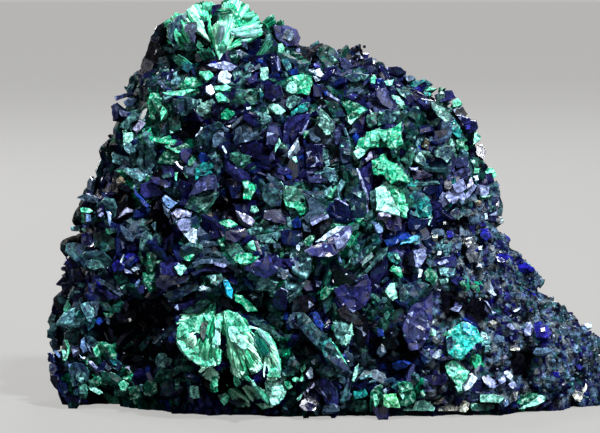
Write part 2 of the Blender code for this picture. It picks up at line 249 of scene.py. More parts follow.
def altered_material():
    """Blades turned green: a satin malachite coat, mottled pale and dark over the blue."""
    made, tree, surface = new_material("altered_azurite")
    shade, grain, position = face_inputs(tree)
    lines = noise_node(tree, stretched(tree, grain, (0.6, 5.0, 5.0)), 1.0, 5.0, 0.6)
    blots = noise_node(tree, position, 1700.0, 5.0, 0.65)
    fine = noise_node(tree, position, 3200.0, 3.0, 0.6)
    through = remap(tree, noise_node(tree, position, 420.0, 4.0, 0.6), 0.50, 0.62, 0.0, 0.75)
    pale = multiplied(tree, shade, (3.4, 2.9, 2.9, 1.0))
    dark = multiplied(tree, shade, (0.16, 0.14, 0.34, 1.0))
    toned = mixed(tree, remap(tree, blots, 0.50, 0.64, 0.0, 0.85), shade, pale)
    toned = mixed(tree, remap(tree, blots, 0.50, 0.36, 0.0, 1.0), toned, dark)
    toned = mixed(tree, through, toned, (0.006, 0.010, 0.048, 1.0))
    toned = mottled(tree, toned, lines, 0.50, 1.55)
    toned = mottled(tree, toned, fine, 0.30, 1.85, TIGHT)
    finish_surface(tree, surface, toned, fine, (0.25, 0.55), 0.15,
                   ((lines, 0.4, 0.00008), (blots, 0.5, 0.00012), (fine, 0.3, 0.00005)))
    return made


def malachite_material():
    """Silky fibrous malachite: pale and emerald streaks along the fibres."""
    made, tree, surface = new_material("malachite")
    shade, grain, position = face_inputs(tree)
    lines = noise_node(tree, stretched(tree, grain, (0.5, 5.0, 5.0)), 1.0, 4.0, 0.6)
    blots = noise_node(tree, position, 1900.0, 5.0, 0.65)
    fine = noise_node(tree, position, 3400.0, 3.0, 0.6)
    pale = mixed(tree, 0.60, shade, (0.66, 0.98, 0.86, 1.0))
    dark = multiplied(tree, shade, (0.08, 0.22, 0.22, 1.0))
    toned = mixed(tree, remap(tree, blots, 0.52, 0.66, 0.0, 0.9), shade, pale)
    toned = mixed(tree, remap(tree, blots, 0.50, 0.37, 0.0, 1.0), toned, dark)
    toned = mottled(tree, toned, lines, 0.50, 1.35)
    toned = mottled(tree, toned, fine, 0.40, 1.55, TIGHT)
    finish_surface(tree, surface, toned, fine, (0.28, 0.50), 0.15,
                   ((lines, 0.45, 0.00008), (blots, 0.5, 0.00012)))
    return made


def fibre_material():
    """The sprays' fibres: the tint of each stretch of fibre, finely streaked."""
    made, tree, surface = new_material("malachite_fibre")
    shade, grain, position = face_inputs(tree)
    lines = noise_node(tree, stretched(tree, grain, (0.8, 5.0, 5.0)), 1.0, 4.0, 0.6)
    flecks = noise_node(tree, position, 1700.0, 4.0, 0.6)
    toned = mottled(tree, shade, lines, 0.60, 1.35)
    toned = mottled(tree, toned, flecks, 0.45, 1.45, TIGHT)
    finish_surface(tree, surface, toned, flecks, (0.28, 0.48), 0.15, ((lines, 0.45, 0.00006),))
    return made


def ground_material():
    """The crust under the crystals: a crowd of tiny dull grains in the tints of its zone, with painted glints."""
    made, tree, surface = new_material("dark_ground")
    shade = attribute(tree, "shade").outputs["Color"]
    position = add_node(tree, "ShaderNodeNewGeometry").outputs["Position"]
    grains = noise_node(tree, position, 2300.0, 4.0, 0.65)
    patches = noise_node(tree, position, 900.0, 4.0, 0.6)
    # painted glints: pale spots where the noise peaks
    painted_glint = remap(tree, noise_node(tree, position, 2900.0, 2.0, 0.5), 0.66, 0.72, 0.0, 0.8)
    toned = mottled(tree, shade, grains, 0.10, 1.90, 0.16)
    toned = mottled(tree, toned, patches, 0.45, 1.55, TIGHT)
    toned = mixed(tree, painted_glint, toned, multiplied(tree, shade, (7.0, 7.0, 6.0, 1.0)))
    finish_surface(tree, surface, toned, patches, (0.30, 0.65), 0.02,
                   ((grains, 0.8, 0.00022), (patches, 0.6, 0.00025)))
    return made


AZURITE = azurite_material()
ALTERED = altered_material()
MALACHITE = malachite_material()
FIBRE = fibre_material()
GROUND = ground_material()


# ---------------------------------------------------------------------------------------- mesh building

class Pile:
    """One piece of the scene, gathered from many closed crystals that share a material."""

    def __init__(self, name, material, slot):
        self.name = name
        self.material = material
        self.slot = slot
        self.points = []
        self.loops = []
        self.sizes = []
        self.shades = []
        self.grains = []
        self.count = 0

    def add(self, points, polygons, shades, grains):
        """points and grains are (crystals, corners, 3), shades (crystals, polygons, 3)."""
        crystals, corners = points.shape[:2]
        if not crystals:
            return
        loop = np.concatenate([np.array(p) for p in polygons])
        sizes = np.array([len(p) for p in polygons])
        starts = self.count + np.arange(crystals)[:, None] * corners
        self.points.append(points.reshape(-1, 3))
        self.grains.append(grains.reshape(-1, 3))
        self.loops.append((loop[None, :] + starts).reshape(-1))
        self.sizes.append(np.tile(sizes, crystals))
        self.shades.append(np.repeat(shades, sizes, axis=1).reshape(-1, 3))
        self.count += crystals * corners

    def build(self, *replaced):
        """Makes the mesh, with nothing under the base, and links it as a piece."""
        points = np.concatenate(self.points) * MM
        points[:, 2] = np.maximum(points[:, 2], 0.0)
        loops = np.concatenate(self.loops)
        sizes = np.concatenate(self.sizes)
        mesh = bpy.data.meshes.new(self.name)
        mesh.vertices.add(len(points))
        mesh.vertices.foreach_set("co", points.ravel())
        mesh.loops.add(len(loops))
        mesh.loops.foreach_set("vertex_index", loops)
        mesh.polygons.add(len(sizes))
        mesh.polygons.foreach_set("loop_start", np.concatenate(([0], np.cumsum(sizes)[:-1])))
        mesh.polygons.foreach_set("loop_total", sizes)
        mesh.polygons.foreach_set("use_smooth", np.zeros(len(sizes), dtype=bool))
        mesh.update(calc_edges=True)
        shades = np.concatenate(self.shades)
        colour = mesh.color_attributes.new("shade", "FLOAT_COLOR", "CORNER")
        colour.data.foreach_set("color", np.column_stack((shades, np.ones(len(shades)))).ravel())
        grain = mesh.attributes.new("grain", "FLOAT_VECTOR", "POINT")
        grain.data.foreach_set("vector", np.concatenate(self.grains).ravel())
        mesh.materials.append(self.material)
        mesh.validate()
        return show(self.name, mesh, self.slot, *replaced)


def show(name, mesh, slot, *replaced):
    """Links a mesh as a piece of the specimen."""
    made = bpy.data.objects.new(name, mesh)
    bpy.context.scene.collection.objects.link(made)
    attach(made, "root")
    if replaced:
        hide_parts(*replaced)
    return made


def read_vectors(vertices, key):
    """One vector of each vertex of a mesh, as an array."""
    found = np.empty(len(vertices) * 3)
    vertices.foreach_get(key, found)
    return found.reshape(-1, 3)


# ------------------------------------------------------------------------------------------------- core

VOXEL = 0.5
SMOOTHING = 8
BROAD = (3.4, 0.7)                      # size and height of the crust's slow waves (mm)
CELLS = ((1.9, 0.75), (0.95, 0.35))     # size of the crust's grains and how far they tilt (mm)
TILT_FIELD = 7.3                        # spreads the grains' tilts apart
CREASE = 0.30
CREASE_WIDTH = 0.25
CORE_INSET = 0.10
LUMP_SIZE = 3.2
LUMP_HEIGHT = 1.5
LUMP_LEVEL = 0.30                       # what is left of a lump's height at no distance from its middle
FLAT_BELOW = 1.2                        # the base takes in what is lower than this (mm)
# The flank's outline in pixels: its left edge at the bottom, where and how that edge bends, its top and bottom.
FLANK_LEFT = 425
FLANK_BEND = 260
FLANK_SLOPE = 0.35
FLANK_HEIGHTS = (195, 402)
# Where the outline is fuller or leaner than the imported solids: pixel, radius in pixels, height (mm).
SWELLS = (
    (117, 142, 21, 4.6), (80, 206, 14, 2.6), (70, 245, 13, 2.2), (54, 350, 16, 2.8), (66, 386, 20, 5.0),
    (96, 173, 12, -5.0), (590, 394, 14, 3.0), (240, 0, 12, -1.5), (404, 60, 26, -1.6), (430, 74, 26, -1.6),
    (487, 128, 18, -1.4), (280, 20, 22, -1.6), (310, 38, 14, -1.6), (252, 5, 12, -1.0), (545, 275, 30, -2.0),
    (568, 300, 26, -1.6), (184, 6, 12, -1.0),
)


def on_flank(points):
    """The granular right flank, by pixel."""
    x, y = eye.pixels(points).T
    edge = FLANK_LEFT + np.maximum(0, FLANK_BEND - y) * FLANK_SLOPE
    return (x > edge) & (y > FLANK_HEIGHTS[0]) & (y < FLANK_HEIGHTS[1])


def crust_height(place):
    """Height of the crust: tilted grains of two sizes, parted by creases, on slow waves."""
    height = noise.noise(place / BROAD[0]) * BROAD[1]
    for size, tilt in CELLS:
        spread, middles = noise.voronoi(place / size)
        slope = (place / size - middles[0]).dot(noise.noise_vector(middles[0] * TILT_FIELD)) * tilt
        height += slope - CREASE * size * max(0.0, CREASE_WIDTH - spread[1] + spread[0])
    return height


def lump_heights(points, normals):
    """Heights of round lumps, on the flank and where the specimen turns away from the camera."""
    share = np.clip(1.5 - 2.0 * eye.toward(normals), 0.0, 1.0)
    share = np.where(on_flank(points), 1.0, share)
    return share * np.array([LUMP_HEIGHT * (LUMP_LEVEL - noise.voronoi(Vector(p) / LUMP_SIZE)[0][0] ** 2)
                             for p in points])


def melted_solids():
    """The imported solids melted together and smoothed, so that only the ground under the crystals is left."""
    bm = bmesh.new()
    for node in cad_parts.values():
        bm.from_mesh(node.data)
    bmesh.ops.remove_doubles(bm, verts=bm.verts, dist=1e-7)
    mesh = bpy.data.meshes.new("core_cage")
    bm.to_mesh(mesh)
    bm.free()
    cage = bpy.data.objects.new("core_cage", mesh)
    bpy.context.scene.collection.objects.link(cage)
    remesh = cage.modifiers.new("melt", "REMESH")
    remesh.mode = "VOXEL"
    remesh.voxel_size = VOXEL * MM
    smooth = cage.modifiers.new("smooth", "SMOOTH")
    smooth.factor = 0.5
    smooth.iterations = SMOOTHING
    graph = bpy.context.evaluated_depsgraph_get()
    melted = bpy.data.meshes.new_from_object(cage.evaluated_get(graph))
    bpy.data.objects.remove(cage)
    return melted


def build_core():
    """The ground that the crystals stand on, and its normals without the crust."""
    core = melted_solids()
    points = read_vectors(core.vertices, "co") / MM
    normals = read_vectors(core.vertices, "normal")
    rise = np.array([crust_height(Vector(p)) for p in points]) + lump_heights(points, normals)
    sideways = 1 - np.abs(eye.toward(normals))
    pixels = eye.pixels(points)
    for x, y, radius, swell in SWELLS:
        rise += swell * sideways * np.exp(-(((pixels - (x, y)) / radius) ** 2).sum(axis=1))
    points += normals * (rise - CORE_INSET)[:, None]
    points[points[:, 2] < FLAT_BELOW, 2] = 0.0
    core.vertices.foreach_set("co", (points * MM).ravel())
    core.update()
    return core, normals


core_mesh, core_normals = build_core()
core_mesh.materials.append(GROUND)


class Surface:
    """The core as triangles, for casting rays and for picking random places."""

    def __init__(self, mesh, smooth):
        bm = bmesh.new()
        bm.from_mesh(mesh)
        bmesh.ops.triangulate(bm, faces=bm.faces)
        bmesh.ops.scale(bm, vec=(1 / MM, 1 / MM, 1 / MM), verts=bm.verts)
        self.tree = BVHTree.FromBMesh(bm)
        self.corners = np.array([[v.co[:] for v in f.verts] for f in bm.faces])
        first, second, third = (self.corners[:, i] for i in range(3))
        self.areas = np.linalg.norm(np.cross(second - first, third - first), axis=1) / 2
        total = smooth[[[v.index for v in f.verts] for f in bm.faces]].sum(axis=1)
        self.normals = total / np.linalg.norm(total, axis=1, keepdims=True)
        bm.free()

    def seen(self, x, y):
        """The point and normal under a pixel of the photograph."""
        hit, _, face, _ = self.tree.ray_cast(eye.place, eye.ray(x, y))
        return hit, Vector(self.normals[face]) if hit else None

    def places(self, rng, tries, spacing):
        """Random places on the surface, none closer to an earlier one than the spacing."""
        picked = rng.choice(len(self.areas), tries, p=self.areas / self.areas.sum())
        weight = np.sort(rng.random((tries, 2)), axis=1)
        corner = self.corners[picked]
        points = (corner[:, 0] * weight[:, :1] + corner[:, 1] * (weight[:, 1:] - weight[:, :1])
                  + corner[:, 2] * (1 - weight[:, 1:]))
        grid = {}
        kept = []
        cells = np.floor(points / spacing).astype(int)
        around = [(i, j, k) for i in (-1, 0, 1) for j in (-1, 0, 1) for k in (-1, 0, 1)]
        for index, cell in enumerate(map(tuple, cells)):
            near = [grid.get((cell[0] + i, cell[1] + j, cell[2] + k)) for i, j, k in around]
            point = points[index]
            if any(n is not None and np.dot(points[n] - point, points[n] - point) < spacing ** 2
                   for n in near):
                continue
            grid[cell] = index
            kept.append(index)
        return points[kept], self.normals[picked[kept]]


surface = Surface(core_mesh, core_normals)


# --------------------------------------------------------------------------------------------- crystals

# Profiles of a crystal along its thickness: height and width as shares of its size.
TABULAR = ((-0.50, 0.74), (-0.10, 1.00), (0.38, 0.97), (0.50, 0.90))
SIMPLE = ((-0.50, 0.72), (0.05, 1.00), (0.50, 0.70))
MIDDLE_HEIGHTS = 0.2              # rings lower than this stay level
SLANT = 0.10                      # how far a face may slope
SHIFT = 0.06                      # how far the upper rings may slide
CORNER_SWING = 0.25               # how far a corner may turn, as a share of the angle between two
# painted highlight: the sides of the blades are made this much brighter than their faces
RIM_HIGHLIGHT = 1.1
FACE_TONES = (0.88, 1.12)
GRAIN_SPREAD = 50                 # each crystal has its own part of the materials' noise
FLAT_ENOUGH = 1e-4                # a vector shorter than this has no direction


def blade_polygons(rings, sides):
    """The polygons of a stack of rings closed by its first and last ring."""
    polygons = [tuple(range(sides))[::-1]]
    for ring in range(rings - 1):
        for side in range(sides):
            low = ring * sides
            after = (side + 1) % sides
            polygons.append((low + side, low + after, low + sides + after, low + sides + side))
    polygons.append(tuple((rings - 1) * sides + side for side in range(sides)))
    return polygons


def blades(pile, rng, centres, frames, sizes, colours, profile=SIMPLE, sides=6, point=0.35, uneven=0.24):
    """Adds tabular crystals. frames are (n, 3, 3) with rows along, side and face; sizes are full lengths."""
    count = len(centres)
    if not count:
        return
    turns = np.arange(sides)[None, :] + rng.uniform(-CORNER_SWING, CORNER_SWING, (count, sides))
    turns = 2 * np.pi * turns / sides
    radius = 1 + rng.uniform(-uneven, uneven, (count, sides))
    x = np.cos(turns) * radius
    y = np.sin(turns) * radius * (1 - point * np.cos(turns) ** 2)
    slant = rng.uniform(-SLANT, SLANT, (count, 2))
    shift = rng.uniform(-SHIFT, SHIFT, (count, 2))
    local = []
    for height, scale in profile:
        upper = max(0.0, height) * 2
        ring_x = x * scale + shift[:, :1] * upper
        ring_y = y * scale + shift[:, 1:] * upper
        slope = slant[:, :1] * ring_x + slant[:, 1:] * ring_y
        ring_z = height * 2 + slope * (abs(height) > MIDDLE_HEIGHTS)
        local.append(np.stack((ring_x, ring_y, ring_z), axis=2))
    local = np.concatenate(local, axis=1) * sizes[:, None, :] / 2
    world = centres[:, None, :] + local @ frames
    grains = local + rng.uniform(-GRAIN_SPREAD, GRAIN_SPREAD, (count, 1, 3))
    polygons = blade_polygons(len(profile), sides)
    tone = np.ones(len(polygons))
    # painted highlight on the blades' sides
    tone[1:-1] = RIM_HIGHLIGHT
    tones = tone[None, :] * rng.uniform(*FACE_TONES, (count, len(polygons)))
    pile.add(world, polygons, colours[:, None, :] * tones[:, :, None], grains)


def growth_frames(points, normals, rng, field_size, spread, lean, roll, wave=2.2):
    """Axes that turn slowly over the surface, so that neighbours grow almost parallel, as in rosettes."""
    frames = np.empty((len(points), 3, 3))
    for i, (point, normal) in enumerate(zip(points, normals)):
        n = Vector(normal)
        p = Vector(point) / field_size
        flow = noise.noise_vector(p)
        tangent = flow - n * flow.dot(n)
        if tangent.length < FLAT_ENOUGH:
            tangent = n.orthogonal()
        tangent.normalize()
        tangent = Matrix.Rotation(rng.normal(0, spread), 3, n) @ tangent
        tilt = rng.uniform(*lean)
        along = (tangent * math.cos(tilt) + n * math.sin(tilt)).normalized()
        face = n - along * n.dot(along)
        if face.length < FLAT_ENOUGH:
            face = along.orthogonal()
        face.normalize()
        swing = noise.noise(p * 1.7 + Vector((31, 7, 3))) * wave + rng.normal(0, roll)
        face = Matrix.Rotation(swing, 3, along) @ face
        frames[i] = (along, face.cross(along), face)
    return frames


piles = {
    "azurite": Pile("azurite_blades", AZURITE, "azurite"),
    "altered": Pile("altered_blades", ALTERED, "azurite"),
    "malachite": Pile("malachite_chips", MALACHITE, "malachite"),
    "small_azurite": Pile("small_azurite_blades", AZURITE, "azurite"),
    "small_altered": Pile("small_altered_blades", ALTERED, "azurite"),
    "small_malachite": Pile("small_malachite_chips", MALACHITE, "malachite"),
    "druse": Pile("druse", AZURITE, "azurite"),
}
spray_piles = {
    "lower": Pile("lower_spray_fibres", FIBRE, "malachite"),
    "crown": Pile("crown_spray_fibres", FIBRE, "malachite"),
}


# ----------------------------------------------------------------------------------- crystals of the front

# The kind and the linear colour of each tint.
# Some tints hold painted light and shade: black is painted shade for gaps and hollows, white, pink and cream are
# painted glints, lavender is a painted sheen, and mintwhite is pale malachite that is partly a painted highlight.
TINTS = {
    "black": ("azurite", (0.0008, 0.0009, 0.003)), "deep": ("azurite", (0.0020, 0.0020, 0.021)),
    "navy": ("azurite", (0.0010, 0.0030, 0.026)), "blue": ("azurite", (0.0030, 0.018, 0.140)),
    "royal": ("azurite", (0.0045, 0.0040, 0.120)), "violet": ("azurite", (0.008, 0.009, 0.056)),
    "mauve": ("azurite", (0.020, 0.024, 0.073)), "lavender": ("azurite", (0.150, 0.180, 0.340)),
    "pink": ("azurite", (0.205, 0.212, 0.325)), "white": ("azurite", (0.380, 0.510, 0.660)),
    "slate": ("azurite", (0.026, 0.048, 0.078)), "sky": ("azurite", (0.080, 0.148, 0.300)),
    "slategreen": ("altered", (0.008, 0.031, 0.036)), "greygreen": ("altered", (0.031, 0.095, 0.093)),
    "moss": ("altered", (0.012, 0.062, 0.046)), "palegreen": ("altered", (0.067, 0.163, 0.140)),
    "darkgreen": ("altered", (0.0015, 0.021, 0.016)), "teal": ("altered", (0.0040, 0.105, 0.100)),
    "aqua": ("altered", (0.052, 0.150, 0.166)), "tan": ("altered", (0.054, 0.049, 0.033)),
    "ash": ("altered", (0.042, 0.053, 0.062)), "turquoise": ("malachite", (0.011, 0.370, 0.330)),
    "cream": ("altered", (0.410, 0.450, 0.370)), "cyan": ("malachite", (0.0020, 0.310, 0.520)),
    "emerald": ("malachite", (0.0020, 0.122, 0.068)), "bright": ("malachite", (0.007, 0.335, 0.172)),
    "mint": ("malachite", (0.085, 0.560, 0.345)), "mintwhite": ("malachite", (0.220, 0.610, 0.500)),
    "lime": ("malachite", (0.110, 0.600, 0.250)),
}

# Broad leaves under the sprays' fibres: tint, stand (mm) and outline in pixels.
LEAVES = (
    ("mint", -0.2, (214, 311, 200, 315, 186, 319, 177, 328, 177, 342, 186, 355, 196, 364, 208, 367, 220, 364,
                       222, 350, 211, 347, 206, 336, 209, 322)),
    ("mint", 0.1, (203, 330, 186, 326, 178, 336, 190, 358, 206, 366, 217, 360, 208, 348, 200, 344)),
    ("mint", -0.1, (217, 314, 224, 311, 228, 330, 226, 344, 219, 348, 212, 344, 212, 330)),
    ("mint", -0.1, (224, 311, 238, 313, 243, 322, 250, 329, 264, 346, 262, 366, 252, 373, 246, 360, 236, 350,
                      228, 340)),
    ("mint", 0.2, (232, 322, 248, 326, 256, 338, 260, 360, 256, 370, 248, 362, 240, 342)),
    ("bright", 0.1, (226, 344, 236, 350, 244, 366, 243, 376, 234, 374, 228, 360)),
    ("mint", 0.0, (253, 328, 267, 332, 275, 342, 281, 358, 280, 378, 268, 377, 262, 356)),
    ("mint", 0.1, (240, 377, 252, 380, 264, 390, 275, 406, 262, 409, 250, 400)),
    ("darkgreen", 0.0, (226, 380, 240, 378, 250, 400, 240, 408, 228, 402)),
    ("mintwhite", 1.2, (228, 326, 234, 326, 243, 336, 248, 348, 244, 350, 236, 344, 229, 336)),
    ("mintwhite", 1.4, (246, 356, 258, 354, 264, 366, 258, 372, 250, 371)),
    ("mintwhite", 1.1, (178, 337, 184, 343, 192, 352, 204, 358, 218, 360, 216, 366, 204, 366, 192, 362, 184, 354,
                        178, 345)),
    ("mintwhite", 0.9, (178, 327, 184, 325, 188, 330, 184, 334, 178, 333)),
    ("mint", 1.4, (239, 381, 246, 384, 256, 395, 263, 404, 257, 405, 246, 395)),
    ("mintwhite", 1.6, (248, 384, 254, 388, 263, 399, 258, 399, 250, 390)),
    ("mintwhite", 1.6, (250, 379, 254, 380, 257, 386, 253, 387)),
    ("mint", 2.0, (229, 354, 233, 354, 241, 367, 244, 376, 236, 376)),
    ("bright", 2.4, (211, 376, 217, 376, 218, 386, 213, 388)),
    ("emerald", 1.4, (196, 309, 206, 306, 210, 312, 208, 322, 200, 322, 193, 317)),
    ("darkgreen", 1.4, (202, 322, 208, 322, 206, 332, 203, 340, 200, 332)),
    ("emerald", 1.3, (190, 314, 197, 318, 201, 328, 196, 330, 190, 322)),
    ("black", 1.6, (240, 352, 244, 356, 249, 374, 245, 374, 241, 364)),
    ("mintwhite", 1.4, (268, 344, 274, 346, 278, 360, 279, 376, 272, 378, 268, 360)),
    ("greygreen", 1.3, (253, 336, 262, 336, 270, 344, 271, 358, 262, 354, 254, 344)),
    ("mintwhite", 0.9, (263, 376, 270, 373, 279, 371, 286, 373, 288, 386, 285, 396, 279, 404, 272, 406, 266, 394)),
    ("mintwhite", 1.6, (199, 369, 206, 367, 218, 366, 220, 374, 216, 382, 210, 375, 201, 374)),
    ("mintwhite", 2.0, (192, 388, 198, 386, 200, 398, 193, 399)),
    ("mint", 1.5, (182, 338, 190, 346, 196, 356, 206, 362, 200, 364, 188, 356, 180, 346)),
    ("greygreen", 0.3, (169, 24, 178, 16, 190, 12, 196, 22, 200, 34, 204, 46, 192, 52, 176, 50, 168, 38)),
    ("bright", 0.1, (184, 13, 196, 6, 208, 4, 212, 20, 206, 30, 196, 24)),
    ("bright", 0.2, (210, 20, 222, 14, 222, 4, 234, 3, 240, 14, 244, 26, 238, 38, 226, 46, 220, 58, 213, 50,
                     209, 38)),
    ("mint", 0.6, (216, 24, 228, 22, 230, 34, 224, 46, 216, 50, 212, 38)),
    ("mint", 0.7, (232, 32, 246, 26, 258, 24, 263, 30, 260, 37, 248, 39, 236, 42)),
    ("darkgreen", 0.2, (234, 5, 248, 8, 258, 16, 262, 24, 248, 26, 238, 28)),
)
